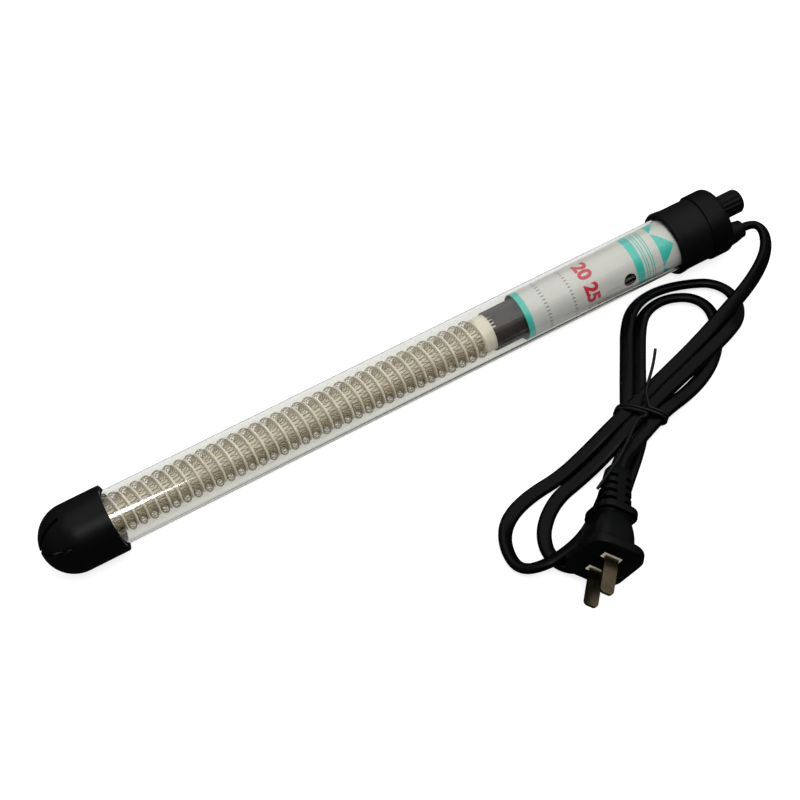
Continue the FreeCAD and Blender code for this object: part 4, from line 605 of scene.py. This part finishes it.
core_foot = collar("core_foot", CORE_FOOT_X, WINDING_X, 0.5, 0.5)
core_head = collar("core_head", HEAD_COLLAR_X, CORE_HEAD_X, 0.5, 0.5)
core = ridge()
only(core_foot, core_head, core)
bpy.ops.object.join()
core = named(bpy.context.object, "core")
dress(core, core_material)
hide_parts("ceramic_core")
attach(core, "base")
print("core faces:", len(core.data.polygons))

# %% [markdown]
# ## Heating winding
#
# The resistance wire is a third of a millimetre thick. It is first coiled to 3.6 mm and
# stretched, and the coil is then laid in the core's groove, 35 times round. Both windings come
# from one formula, and the wire is a curve with a round bevel. The core stands loose in the tube
# and leans a little, as in the photo.

# %% Winding
WIRE = 0.33
COIL_R = 1.65
LAY_R = 7.45
FINE_PITCH = 1.8
FIRST_TURN_X = WINDING_X + 2.05
WIRE_TURNS = 35.5
POINTS_PER_FINE = 12
LEAN = math.radians(-0.37)


def wire_of(name, points, kind, radius, **settings):
    """A round wire with closed ends along a spline."""
    only(curve_of(name, points, kind, bevel_depth=radius * MM, use_fill_caps=True, **settings))
    bpy.ops.object.convert(target="MESH")
    bpy.ops.object.shade_smooth()
    return bpy.context.object


fine_per_turn = math.hypot(math.tau * LAY_R, PITCH) / FINE_PITCH
count = int(WIRE_TURNS * fine_per_turn * POINTS_PER_FINE)
wire_line = []
for i in range(count + 1):
    phase = math.tau * WIRE_TURNS * i / count
    fine = math.tau * i / POINTS_PER_FINE
    radius = LAY_R + COIL_R * math.cos(fine)
    wire_line.append((FIRST_TURN_X + PITCH * phase / math.tau + COIL_R * math.sin(fine),
                      -radius * math.sin(phase), AXIS + radius * math.cos(phase)))
winding = wire_of("winding", wire_line, "POLY", WIRE / 2, bevel_resolution=1)
pivot = Matrix.Translation((CORE_HEAD_X * MM, 0, 0))
for piece in (core, winding):
    piece.data.transform(pivot @ Matrix.Rotation(LEAN, 4, "Z") @ pivot.inverted())
# Iron-chromium-aluminium wire, oxidised grey-brown by its first firing, still bright in places.
wire_metal = surface("oxidised resistance wire", "#C2B498", "#7C6D56", (0.2, 0.35), 2.5, 0.3,
                     0.01, 0.4)
dress(winding, wire_metal)
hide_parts("heating_coil")
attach(winding, "base")
print("winding faces:", len(winding.data.polygons))

# %% [markdown]
# ## Insulating sleeve
#
# A dark sleeve joins the core's collar to the thermostat. Its foot edge has a short comb of
# notches, and the pale collar shows through them.

# %% Sleeve
SLEEVE_FOOT_X, SLEEVE_RING_X, SLEEVE_HEAD_X = 41, 44, 60
SLEEVE_R, SLEEVE_BORE_R = 9.0, 8.3
NOTCH = (3.4, 0.9, 4)
NOTCH_TURNS = (-11, 0, 11, 22)
sleeve = turned("sleeve", [
    (SLEEVE_FOOT_X, SLEEVE_BORE_R), (SLEEVE_FOOT_X, SLEEVE_R - 0.15),
    (SLEEVE_FOOT_X + 0.15, SLEEVE_R), (SLEEVE_RING_X, SLEEVE_R), (SLEEVE_HEAD_X, SLEEVE_R),
    (SLEEVE_HEAD_X, SLEEVE_BORE_R), (SLEEVE_RING_X, SLEEVE_BORE_R),
    (SLEEVE_FOOT_X, SLEEVE_BORE_R)], steps=144)
for turn in NOTCH_TURNS:
    cut(sleeve, round_tube(block(NOTCH, (SLEEVE_FOOT_X, 0, SLEEVE_R)), turn))
edit(sleeve)
tidy(35)
# Glass-fibre braid under a shrunk dark resin: brown-black and dull.
sleeve_fibre = surface("shrunk glass-fibre sleeve", "#302727", "#262020", (0.55, 0.7), 6, 0.4,
                       0.03)
dress(sleeve, sleeve_fibre)
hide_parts("insulating_sleeve")
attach(sleeve, "base")
print("sleeve faces:", len(sleeve.data.polygons))

# %% [markdown]
# ## Printed liner
#
# A white film is rolled inside the glass to hide the thermostat. It is turned as a thin sleeve,
# and a round cutter opens the window through which the lamp shows.

# %% Liner and its window
LABEL_FOOT_X, LABEL_HEAD_X = 55.7, 145.5
LABEL_R, LABEL_BORE_R = 10.8, 10.5
WINDOW_X, WINDOW_TURN, WINDOW_R = 107.6, 70.0, 3.1
label = turned("liner", [
    (LABEL_FOOT_X, LABEL_BORE_R), (LABEL_FOOT_X, LABEL_R), (RING_X, LABEL_R),
    (LABEL_HEAD_X, LABEL_R), (LABEL_HEAD_X, LABEL_BORE_R), (RING_X, LABEL_BORE_R),
    (LABEL_FOOT_X, LABEL_BORE_R)], steps=128)
bpy.ops.object.select_all(action="DESELECT")
bpy.ops.mesh.primitive_cylinder_add(vertices=48, radius=WINDOW_R * MM, depth=6 * MM)
cutter = bpy.context.object
cutter.location = (WINDOW_X * MM, 0, LABEL_R * MM)
cut(label, round_tube(settled(cutter), WINDOW_TURN))
edit(label)
tidy(35)
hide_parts("label_liner")
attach(label, "base")
print("liner faces:", len(label.data.polygons))

# %% [markdown]
# ## Print of the liner
#
# The print is plain: a teal edge band, a wide band, thin stripes, a row of triangles, and two
# rows of ticks. The shader works all of it out from the station along the tube and the angle
# round it, so its edges stay sharp at any distance.

# %% Print of the liner
# White polyester film, screen printed, with a soft gloss.
EDGE_BAND, WIDE_BAND = (55.0, 58.6), (111.6, 115.4)
STRIPES = ((116.4, 116.9), (117.5, 118.0), (119.2, 119.7), (120.3, 120.8))
TRIANGLES, TRIANGLE_SHIFT = 4, 0.12
TRIANGLE_BASE_X, TRIANGLE_TIP_X, TRIANGLE_HIGH = 124.8, 132.4, 7.6
TICK_ROWS = (66.0, 67.6), (79.0, 80.4)
TICKS, TICK_SHARE = 40, 0.22
film, film_shader, in_mm = blank("printed white polyester film")
place = add(film, "ShaderNodeSeparateXYZ", {0: in_mm})
station = place.outputs["X"]
across = maths(film, "SUBTRACT", 0.0, place.outputs["Y"])
height = maths(film, "SUBTRACT", place.outputs["Z"], AXIS)
turn = maths(film, "ARCTAN2", across, height)


def band(ends):
    """1 between two stations along the tube."""
    low, high = ends
    return maths(film, "COMPARE", station, (low + high) / 2, (high - low) / 2)


teal = maths(film, "ADD", band(EDGE_BAND), band(WIDE_BAND))
for stripe in STRIPES:
    teal = maths(film, "ADD", teal, band(stripe))
row = maths(film, "MULTIPLY", turn, TRIANGLES / math.tau)
row = maths(film, "FRACT", maths(film, "ADD", row, TRIANGLES + TRIANGLE_SHIFT))
slope = maths(film, "ABSOLUTE", maths(film, "SUBTRACT", row, 0.5))
tip = maths(film, "SUBTRACT", TRIANGLE_TIP_X, maths(film, "MULTIPLY", slope, 2 * TRIANGLE_HIGH))
triangle = maths(film, "MULTIPLY", maths(film, "GREATER_THAN", station, TRIANGLE_BASE_X),
                 maths(film, "LESS_THAN", station, tip))
teal = maths(film, "MINIMUM", maths(film, "ADD", teal, triangle), 1.0)
spokes = maths(film, "ADD", maths(film, "MULTIPLY", turn, TICKS / math.tau), float(TICKS))
spokes = maths(film, "LESS_THAN", maths(film, "FRACT", spokes), TICK_SHARE)
ticks = maths(film, "ADD", band(TICK_ROWS[0]), band(TICK_ROWS[1]))
ticks = maths(film, "MULTIPLY", ticks, spokes)
white = mixed(film, noise(film, in_mm, 2.5, 3), linear("#DADAD8"), linear("#E2E2E0"))
printed = mixed(film, teal, white, linear("#3FD2C6"))
printed = mixed(film, ticks, printed, linear("#2A2A2C"))
film.node_tree.links.new(printed, film_shader.inputs["Base Color"])
film_shader.inputs["Roughness"].default_value = 0.42
dress(label, film)
print("liner print: bands, stripes,", TRIANGLES, "triangles and a tick scale")

# %% [markdown]
# ## Numbers on the liner
#
# A plain row of numbers in red stands on the liner, as on a thermometer scale. A flat text
# becomes a mesh, is divided so that it can bend, and each of its points is laid round the liner.

# %% Numbers on the liner
NUMBER_SIZE, NUMBER_X, NUMBER_TURN = 8.6, 86.0, -26
BOLDER = 0.045
INK_THICK = 0.03


def wrapped(text, size, x, turn_from, material):
    """Flat text laid round the liner, its reading direction towards the camera's side."""
    bpy.ops.object.select_all(action="DESELECT")
    bpy.ops.object.text_add()
    words = bpy.context.object
    words.data.body = text
    words.data.size = size * MM
    words.data.offset = BOLDER * size * MM
    bpy.ops.object.convert(target="MESH")
    words = bpy.context.object
    modified(words, "SUBSURF", subdivision_type="SIMPLE", levels=2, render_levels=2)
    for vertex in words.data.vertices:
        angle = math.radians(turn_from) + vertex.co.x / (LABEL_R * MM)
        radius = (LABEL_R + INK_THICK) * MM
        vertex.co = (x * MM + vertex.co.y, -radius * math.sin(angle),
                     AXIS * MM + radius * math.cos(angle))
    dress(words, material)
    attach(words, "base")
    return words


# Screen ink lies on the film as a thin skin with a gloss of its own.
red_ink = surface("red screen ink", "#DE2B46", "#CE1E3A", (0.35, 0.45), 2, 0.3, 0.002)
numbers = named(wrapped("20 25 30", NUMBER_SIZE, NUMBER_X, NUMBER_TURN, red_ink), "numbers")
print("numbers on the liner:", len(numbers.data.vertices), "points")

# %% [markdown]
# ## Rubber sleeve
#
# A rubber sleeve with a rolled lip grips the glass. It is turned, and then its lip is shifted a
# little, because soft rubber never sits quite square.

# %% Rubber sleeve
RUBBER_R, RUBBER_BORE_R = 14.4, 12.55
LIP_FROM_X, LIP_END_X = 139, 132
LIP_SLANT, LIP_SLANT_TURN = 1.2, 60
rubber_sleeve = turned("rubber_sleeve", (
    [(132.6, RUBBER_BORE_R), (MOUTH_X, RUBBER_BORE_R), (MOUTH_X, RUBBER_R),
     (LIP_FROM_X, RUBBER_R), (137, RUBBER_R + 0.1), (135.6, RUBBER_R + 0.38)]
    + arc(133.7, 13.3, 1.6, 70, 180, 10) + [(132.1, 12.9), (132.6, RUBBER_BORE_R)]),
    steps=120, smooth_angle=50)
slanted(rubber_sleeve, LIP_FROM_X, LIP_END_X, LIP_SLANT, LIP_SLANT_TURN)
dress(rubber_sleeve, rubber)
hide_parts("head_sleeve")
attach(rubber_sleeve, "base")
print("rubber sleeve faces:", len(rubber_sleeve.data.polygons))

# %% [markdown]
# ## Head cap
#
# A harder cap closes the head. It is a little wider than the rubber, so a fine line shows where
# the two meet, and its end has a wide round edge. It is turned as well.

# %% Cap
CAP_R, CAP_BORE_R = 15.2, 14.42
CAP_FOOT_X, CAP_INSIDE_X, CAP_END_X = 150.0, 158.0, 161.0
FOOT_ROUND, END_ROUND = 0.4, 3.2
cap = turned("cap", (
    [(CAP_FOOT_X, CAP_BORE_R), (CAP_FOOT_X, CAP_R - FOOT_ROUND)]
    + arc(CAP_FOOT_X + FOOT_ROUND, CAP_R - FOOT_ROUND, FOOT_ROUND, 180, 90, 4)
    + arc(CAP_END_X - END_ROUND, CAP_R - END_ROUND, END_ROUND, 90, 0, 12)
    + [(CAP_END_X, 0.0), (CAP_INSIDE_X, 0.0), (CAP_INSIDE_X, CAP_BORE_R),
       (CAP_FOOT_X, CAP_BORE_R)]), steps=120, smooth_angle=40)
dress(cap, cap_plastic)
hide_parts("head_cap")
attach(cap, "base")
print("cap faces:", len(cap.data.polygons))

# %% [markdown]
# ## Lead outlet
#
# The lead leaves the cap through a short tapered outlet that keeps it from kinking. It is turned
# about its own axis, which lies beside the tube's.

# %% Lead outlet
GLAND_Y = -9.9
GLAND_FOOT_X, GLAND_TIP_X = 158.2, 167.4
GLAND_CORE_R = 0.5
gland = turned("outlet", (
    [(GLAND_FOOT_X, GLAND_CORE_R), (GLAND_FOOT_X, 5.2), (160.2, 5.1), (161.4, 4.95),
     (162.6, 4.75), (163.8, 4.5), (165.0, 4.25), (166.0, 4.05)]
    + arc(166.6, 3.2, 0.8, 80, 0, 5)
    + [(GLAND_TIP_X, GLAND_CORE_R), (GLAND_FOOT_X, GLAND_CORE_R)]),
    y=GLAND_Y, steps=64, smooth_angle=50)
dress(gland, cap_plastic)
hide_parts("cord_gland")
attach(gland, "base")
print("outlet faces:", len(gland.data.polygons))

# %% [markdown]
# ## Knob
#
# The knob turns the thermostat's spindle. It is a small cylinder with eighteen shallow flutes and
# a rounded end. The points of a fine cylinder are moved inwards in a wave to make the flutes, and
# the end is rounded by a bevel.

# %% Knob
KNOB_X, KNOB_Y = 168.5, 3.8
KNOB_R, KNOB_LONG = 5.6, 14
FLUTES, POINTS_PER_FLUTE = 18, 6
FLUTE_SHARE, FLUTE_WIDTH = 0.06, 0.7
KNOB_ROUND = 2.4
bpy.ops.object.select_all(action="DESELECT")
bpy.ops.mesh.primitive_cylinder_add(vertices=FLUTES * POINTS_PER_FLUTE, radius=KNOB_R * MM,
                                    depth=KNOB_LONG * MM)
knob = bpy.context.object
knob.rotation_euler = (0, math.pi / 2, 0)
knob.location = (KNOB_X * MM, KNOB_Y * MM, AXIS * MM)
settled(knob)
for vertex in knob.data.vertices:
    middle = Vector((vertex.co.x, KNOB_Y * MM, AXIS * MM))
    spot = vertex.co - middle
    wave = 0.5 + 0.5 * math.cos(FLUTES * math.atan2(spot.y, spot.z))
    vertex.co = middle + spot * (1 - FLUTE_SHARE * wave ** FLUTE_WIDTH)
edit(knob)
bpy.ops.mesh.select_all(action="DESELECT")
bpy.ops.object.mode_set(mode="OBJECT")
for face in knob.data.polygons:
    face.select = face.normal.x > 0.9
bpy.ops.object.mode_set(mode="EDIT")
bpy.ops.mesh.bevel(offset=KNOB_ROUND * MM, segments=8, affect="EDGES")
named(tidy(40), "knob_cover")
dress(knob, cap_plastic)
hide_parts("knob")
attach(knob, "knob_group")
print("knob faces:", len(knob.data.polygons))

# %% [markdown]
# ## Plug
#
# A moulded two-pin plug. It is drawn along its own X axis from the pin face to the lead, where
# its sizes are easy to read. This matrix then takes its mesh to its place beside the bundle.

# %% Plug frame
PLUG_AT = (22.0, -122.5, 17.4)
PLUG_HEADING, PLUG_DIP, PLUG_ROLL = 49.4, 3.5, 206
plug_place = Matrix.Translation(Vector(PLUG_AT) * MM)
for angle, axis in ((PLUG_HEADING, "Z"), (PLUG_DIP, "Y"), (PLUG_ROLL, "X")):
    plug_place = plug_place @ Matrix.Rotation(math.radians(angle), 4, axis)
print("plug axis", [round(c, 4) for c in plug_place.to_3x3() @ Vector((1, 0, 0))])

# %% [markdown]
# ## Plug body
#
# The body swells, narrows to a waist and ends in a strain relief. One rounded outline is
# extruded and scaled from station to station, so that flange, body, waist and relief are one
# skin, as in the moulding. Slots across the strain relief let it bend.

# %% Plug body
PLUG_STATIONS = [
    (0.0, 24.6, 30.6, 7.6), (0.25, 25.5, 31.5, 8), (0.8, 26, 32, 8), (3.7, 26, 32, 8),
    (4.3, 25.4, 31.4, 8), (4.6, 24.0, 29.8, 8), (4.9, 20.0, 24.5, 8), (5.8, 19.2, 23.2, 7),
    (8.0, 18.8, 22.0, 7), (10.5, 18.6, 21.2, 6), (13.0, 18.1, 20.4, 6), (15.0, 17.4, 19.4, 6),
    (17.5, 16.0, 18.0, 6), (19.4, 14.8, 17.0, 5), (20.8, 14.6, 16.8, 6), (21.6, 15.4, 17.8, 7),
    (22.0, 18.0, 21.0, 7), (24.4, 18.0, 21.0, 7), (25.1, 17.6, 20.6, 7), (25.5, 16.6, 19.6, 7),
    (25.9, 14.4, 14.8, 4), (26.6, 13.6, 13.6, 3), (36.0, 12.2, 10.8, 3), (46.2, 10.6, 8.0, 3),
    (47.0, 9.6, 7.0, 3),
]
RELIEF_SLOT = (1.9, 6, 16)
RELIEF_SLOTS, FIRST_SLOT_X, SLOT_STEP, SLOT_Y = 4, 28.4, 4.2, 4.9


def lofted(name, stations):
    """A body through rounded outlines: (x, width along y, height along z, corner) in mm."""
    x, wide, high, corner = stations[0]
    bpy.ops.object.select_all(action="DESELECT")
    bpy.ops.mesh.primitive_plane_add(size=1)
    body = bpy.context.object
    body.scale = (high * MM, wide * MM, 1)
    body.rotation_euler = (0, -math.pi / 2, 0)
    body.location = (x * MM, 0, 0)
    settled(body)
    edit(body)
    bpy.ops.mesh.bevel(offset=corner * MM, segments=7, affect="VERTICES")
    for before, after in zip(stations, stations[1:]):
        bpy.ops.mesh.extrude_region_move(
            TRANSFORM_OT_translate={"value": ((after[0] - before[0]) * MM, 0, 0)})
        bpy.ops.transform.resize(value=(1, after[1] / before[1], after[2] / before[2]),
                                 center_override=(after[0] * MM, 0, 0))
    return named(tidy(30), name)


plug = lofted("plug", PLUG_STATIONS)
for side in (1, -1):
    for i in range(RELIEF_SLOTS):
        cut(plug, block(RELIEF_SLOT, (FIRST_SLOT_X + SLOT_STEP * i, side * SLOT_Y, 0)))
plug.data.transform(plug_place)
edit(plug)
tidy(30)
dress(plug, plug_plastic)
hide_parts("plug_body")
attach(plug, "base")
print("plug faces:", len(plug.data.polygons))

# %% [markdown]
# ## Blades and their pale seats
#
# The frame's blades and seats are exact and keep their shape. They need only their finish: worn
# metal that still shines along its faces, and a pale plastic round its root.

# %% Blades and seats
# Nickel over brass, worn warm; stamped flat with a fine brushing along the blade.
blade_metal = surface("worn nickel on brass", "#80745E", "#5C5242", (0.22, 0.36), 3.5, 0.5,
                      0.008, 1.0)
# Glass-filled nylon carrier, ivory, dull.
seat_nylon = surface("ivory nylon", "#F6F1E2", "#ECE4CE", (0.45, 0.6), 3, 0.3, 0.01)
for name in ("plug_blade_upper", "plug_blade_lower"):
    dress(nodes[name], blade_metal)
dress(nodes["plug_blade_seat"], seat_nylon)
print("dressed: two blades and their seat")

# %% [markdown]
# ## Twist tie
#
# A thin coated wire goes twice round the bundle's waist and crosses itself on top, and its two
# ends stand away. It is one spline with a round bevel, placed from the bundle's own centre.

# %% Twist tie
TIE_CENTRE = Vector((78.0, -63.7, 0))
TIE_ALONG = Vector((0.76, 0.65, 0))
TIE_SIDE = Vector((0.65, -0.76, 0))
TIE_RADIUS = 0.7
TIE_SHIFT = 1.6
# One turn round the bundle: (distance to the side, height)
TIE_RING = [(4.0, 12.6), (9.0, 12.4), (12.8, 10.4), (12.6, 6.0), (8.0, 3.2), (2.2, 0.75),
            (-4.0, 0.62), (-9.6, 0.75), (-10.0, 4.0), (-8.6, 9.0), (-4.4, 11.8), (0.0, 12.4)]
TIE_FIRST_END = [(97.5, -45.9, 19.0), (93.9, -50.4, 17.5), (88.9, -55.1, 15.8), (83.7, -59.8, 14.4)]
TIE_LAST_END = [(73.3, -69.3, 15.0), (64.0, -77.1, 17.5), (55.1, -83.5, 19.5), (45.7, -88.7, 20.5),
                (38.0, -92.3, 20.0)]


def tie_point(side, shift, z):
    """A point of the tie from the bundle's centre: to its side, along it and over the floor."""
    return TIE_CENTRE + TIE_SIDE * side + TIE_ALONG * shift + Vector((0, 0, z))


tie_route = TIE_FIRST_END + [tie_point(3.6, 2.4, 13.2)]
for start in (1.2, -0.4):
    tie_route += [tie_point(side, start - TIE_SHIFT * k / len(TIE_RING), z)
                  for k, (side, z) in enumerate(TIE_RING)]
tie_route += [tie_point(4.0, -2.4, 13.2), tie_point(5.0, -4.2, 13.8)] + TIE_LAST_END
tie = wire_of("tie", tie_route, "NURBS", TIE_RADIUS, resolution_u=8, bevel_resolution=3)
# Soft PVC coat, a little dusty, round a steel wire.
tie_coat = surface("PVC-coated tie wire", "#0B0B0C", "#070708", (0.35, 0.5), 4, 0.4, 0.01,
                   Specular_IOR_Level=0.3)
dress(tie, tie_coat)
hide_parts("twist_tie")
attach(tie, "base")
print("tie faces:", len(tie.data.polygons))

# %% [markdown]
# ## What stays as the frame has it
#
# The thermostat's small pieces are hidden behind the liner and keep their exact shapes. Each gets
# the finish that it has on a real one, except the frame and the lamp. These two are coloured
# near-black as painted shade, so that the liner's window looks dark. A row names the finish and its
# pieces, then gives the two tones, the gloss, the sizes of patches, texture and relief in mm, and
# how metallic it is.

# %% Finishes of the inner pieces
INNER = [
    # Glass-filled PBT, coloured near-black as painted shade so that the liner's window looks dark
    ("black PBT", ["thermostat_frame"],
     "#1C1B1B", "#131212", (0.4, 0.55), 4, 0.4, 0.01, 0.0),
    # Zinc-plated steel, bright and slightly grey
    ("plated steel", ["anchor_screws", "adjusting_screw"],
     "#B8B8B6", "#9A9A98", (0.25, 0.4), 2, 0.3, 0.004, 1.0),
    # Half-hard brass, rolled or turned
    ("rolled brass", ["contact_leaf", "screw_bush", "spindle", "spindle_bush", "leaf_anchor",
                      "bimetal_anchor"],
     "#C9A55A", "#A98642", (0.25, 0.4), 3, 0.4, 0.004, 1.0),
    # Two clad alloys, warm on the side that shows
    ("clad bimetal", ["bimetal_strip"],
     "#B3A58E", "#94866F", (0.3, 0.45), 3, 0.4, 0.004, 1.0),
    # Fine silver rivets
    ("contact silver", ["leaf_contact", "bimetal_contact"],
     "#DAD9D2", "#BDBBB2", (0.2, 0.35), 1, 0.2, 0.003, 1.0),
    # Sintered magnet, dark and dull
    ("ferrite", ["snap_magnet"],
     "#3B3B3E", "#2B2B2E", (0.45, 0.6), 2, 0.3, 0.01, 0.0),
    # Silicone that stands heat, milky beige
    ("silicone rubber", ["spindle_seal", "foot_pad", "tube_stopper"],
     "#C9C4B8", "#B8B2A4", (0.4, 0.55), 4, 0.4, 0.01, 0.0),
    # Bare nickel lead wire
    ("nickel wire", ["return_lead", "winding_lead"],
     "#B7AD9C", "#8F8473", (0.25, 0.4), 2, 0.3, 0.004, 1.0),
    # Baked beige lacquer on a small resistor
    ("resistor lacquer", ["lamp_resistor"],
     "#C4A878", "#AF9263", (0.35, 0.5), 1.5, 0.3, 0.006, 0.0),
    # The live core's PVC, brown by rule
    ("brown core insulation", ["live_wire", "cord_in_gland"],
     "#5A3324", "#4A281B", (0.3, 0.4), 4, 0.4, 0.006, 0.0),
    # The neutral core's PVC, blue by rule
    ("blue core insulation", ["neutral_wire"],
     "#2F5FA8", "#264F8E", (0.3, 0.4), 4, 0.4, 0.006, 0.0),
    # The lamp's bulb, coloured near-black as painted shade so that the liner's window looks dark
    ("neon lamp glass", ["neon_lamp"],
     "#0E0B0A", "#080606", (0.05, 0.12), 2, 0.5, 0.002, 0.0),
]
for name, members, *finish in INNER:
    material = surface(name, *finish)
    for member in members:
        dress(nodes[member], material)
print("inner finishes:", len(INNER))

# %% [markdown]
# ## The cord
#
# The lead, the plug on its end and the tie on it belong together.

# %% [markdown]
# ## Floor
#
# A white paper sweep. It is lifted to full white for the camera, and lifted less for rays that
# come through the glass, but still takes the object's shadow. Mirrored rays find it dark, so
# that the black pieces stay black. A band of floor beside the tube carries a painted shadow for
# rays through the glass, in place of the shade under the tube, and it fades towards the foot.
# The wall's near edge looks at this band, so it draws the dark line along the glass.

# %% Floor
WHITE_FOR_CAMERA, WHITE_THROUGH_GLASS = 0.75, 0.5
SHADOW_BAND_NEAR_Y, SHADOW_BAND_FAR_Y = -17.0, -11.3


def mirrored_only(holder, rays):
    """1 for rays that a surface mirrors, 0 for those that glass lets through."""
    return maths(holder, "SUBTRACT", rays.outputs["Is Glossy Ray"],
                 rays.outputs["Is Transmission Ray"], use_clamp=True)


bpy.ops.object.select_all(action="DESELECT")
bpy.ops.mesh.primitive_plane_add(size=6)
floor = named(bpy.context.object, "floor")
paper, paper_shader, in_mm = blank("white paper sweep")
rays = add(paper, "ShaderNodeLightPath")
through_glass = rays.outputs["Is Transmission Ray"]
place = add(paper, "ShaderNodeSeparateXYZ", {0: in_mm})
# Painted shadow: a band of floor beside the tube, dark only for rays through the glass
strip = maths(paper, "MULTIPLY", maths(paper, "GREATER_THAN", place.outputs["Y"], SHADOW_BAND_NEAR_Y),
              maths(paper, "LESS_THAN", place.outputs["Y"], SHADOW_BAND_FAR_Y))
# The painted shadow is weaker towards the foot
fade = add(paper, "ShaderNodeMapRange", {"Value": place.outputs["X"], "From Min": -140,
                                         "From Max": 60, "To Min": 0.35, "To Max": 1.0})
strip = maths(paper, "MULTIPLY", strip, fade.outputs["Result"])
strip = maths(paper, "MULTIPLY", strip, through_glass)
seen_through = maths(paper, "MULTIPLY", maths(paper, "SUBTRACT", through_glass, strip),
                     WHITE_THROUGH_GLASS)
lift = maths(paper, "MULTIPLY_ADD", rays.outputs["Is Camera Ray"], WHITE_FOR_CAMERA, seen_through)
# Dark for mirrored rays, and the painted shadow band for rays through the glass
dark = maths(paper, "ADD", mirrored_only(paper, rays), strip, use_clamp=True)
base = mixed(paper, dark, linear("#CDCDCD"), linear("#3A3A38"))
paper.node_tree.links.new(base, paper_shader.inputs["Base Color"])
paper.node_tree.links.new(lift, paper_shader.inputs["Emission Strength"])
paper_shader.inputs["Emission Color"].default_value = (1, 1, 1, 1)
paper_shader.inputs["Roughness"].default_value = 0.9
paper_shader.inputs["Specular IOR Level"].default_value = 0.0
dress(floor, paper)
print("floor:", paper.name)

# %% [markdown]
# ## Light
#
# The light is soft and even, from a bright sky and one wide lamp. A small lamp high up draws the
# bright streak on the glass. Mirrored rays find the sky dim, and a black card on the near side,
# unseen by the camera, keeps the faces that look this way dark.

# %% Sky and lamps
SKY, SKY_MIRRORED = 0.75, 0.2
world = bpy.data.worlds.new("studio")
bpy.context.scene.world = world
world.use_nodes = True
sky = world.node_tree.nodes["Background"]
sky.inputs["Color"].default_value = linear("#F4F5F5")
mirrored = mirrored_only(world, add(world, "ShaderNodeLightPath"))
strength = add(world, "ShaderNodeMapRange",
               {"Value": mirrored, "To Min": SKY, "To Max": SKY_MIRRORED})
world.node_tree.links.new(strength.outputs[0], sky.inputs["Strength"])


def lamp(name, at, target, size, watts):
    """A rectangular lamp that looks at a target. Lengths are in metres."""
    light = bpy.data.lights.new(name, "AREA")
    light.shape = "RECTANGLE"
    light.size, light.size_y = size
    light.energy = watts
    holder = bpy.data.objects.new(name, light)
    bpy.context.scene.collection.objects.link(holder)
    holder.location = at
    holder.rotation_mode = "QUATERNION"
    holder.rotation_quaternion = (Vector(target) - Vector(at)).to_track_quat("-Z", "Y")


lamp("wide lamp", (0.5, 0.3, 1.6), (0, -0.03, 0), (2.6, 2.6), 15.5)
lamp("small lamp", (0.0, -0.36, 0.97), (-0.12, 0, 0.02), (0.08, 0.28), 1.3)

bpy.ops.object.select_all(action="DESELECT")
bpy.ops.mesh.primitive_plane_add(size=1)
card = named(bpy.context.object, "black card")
card.scale = (3, 1.0, 1)
card.rotation_euler = (math.pi / 2, 0, 0)
card.location = (0, -1.0, 0.5)
settled(card)
card.visible_camera = False
card_black, card_shader, in_mm = blank("black velvet card")
card_shader.inputs["Base Color"].default_value = linear("#050505")
dress(card, card_black)
print("light: a sky, two lamps and a black card")
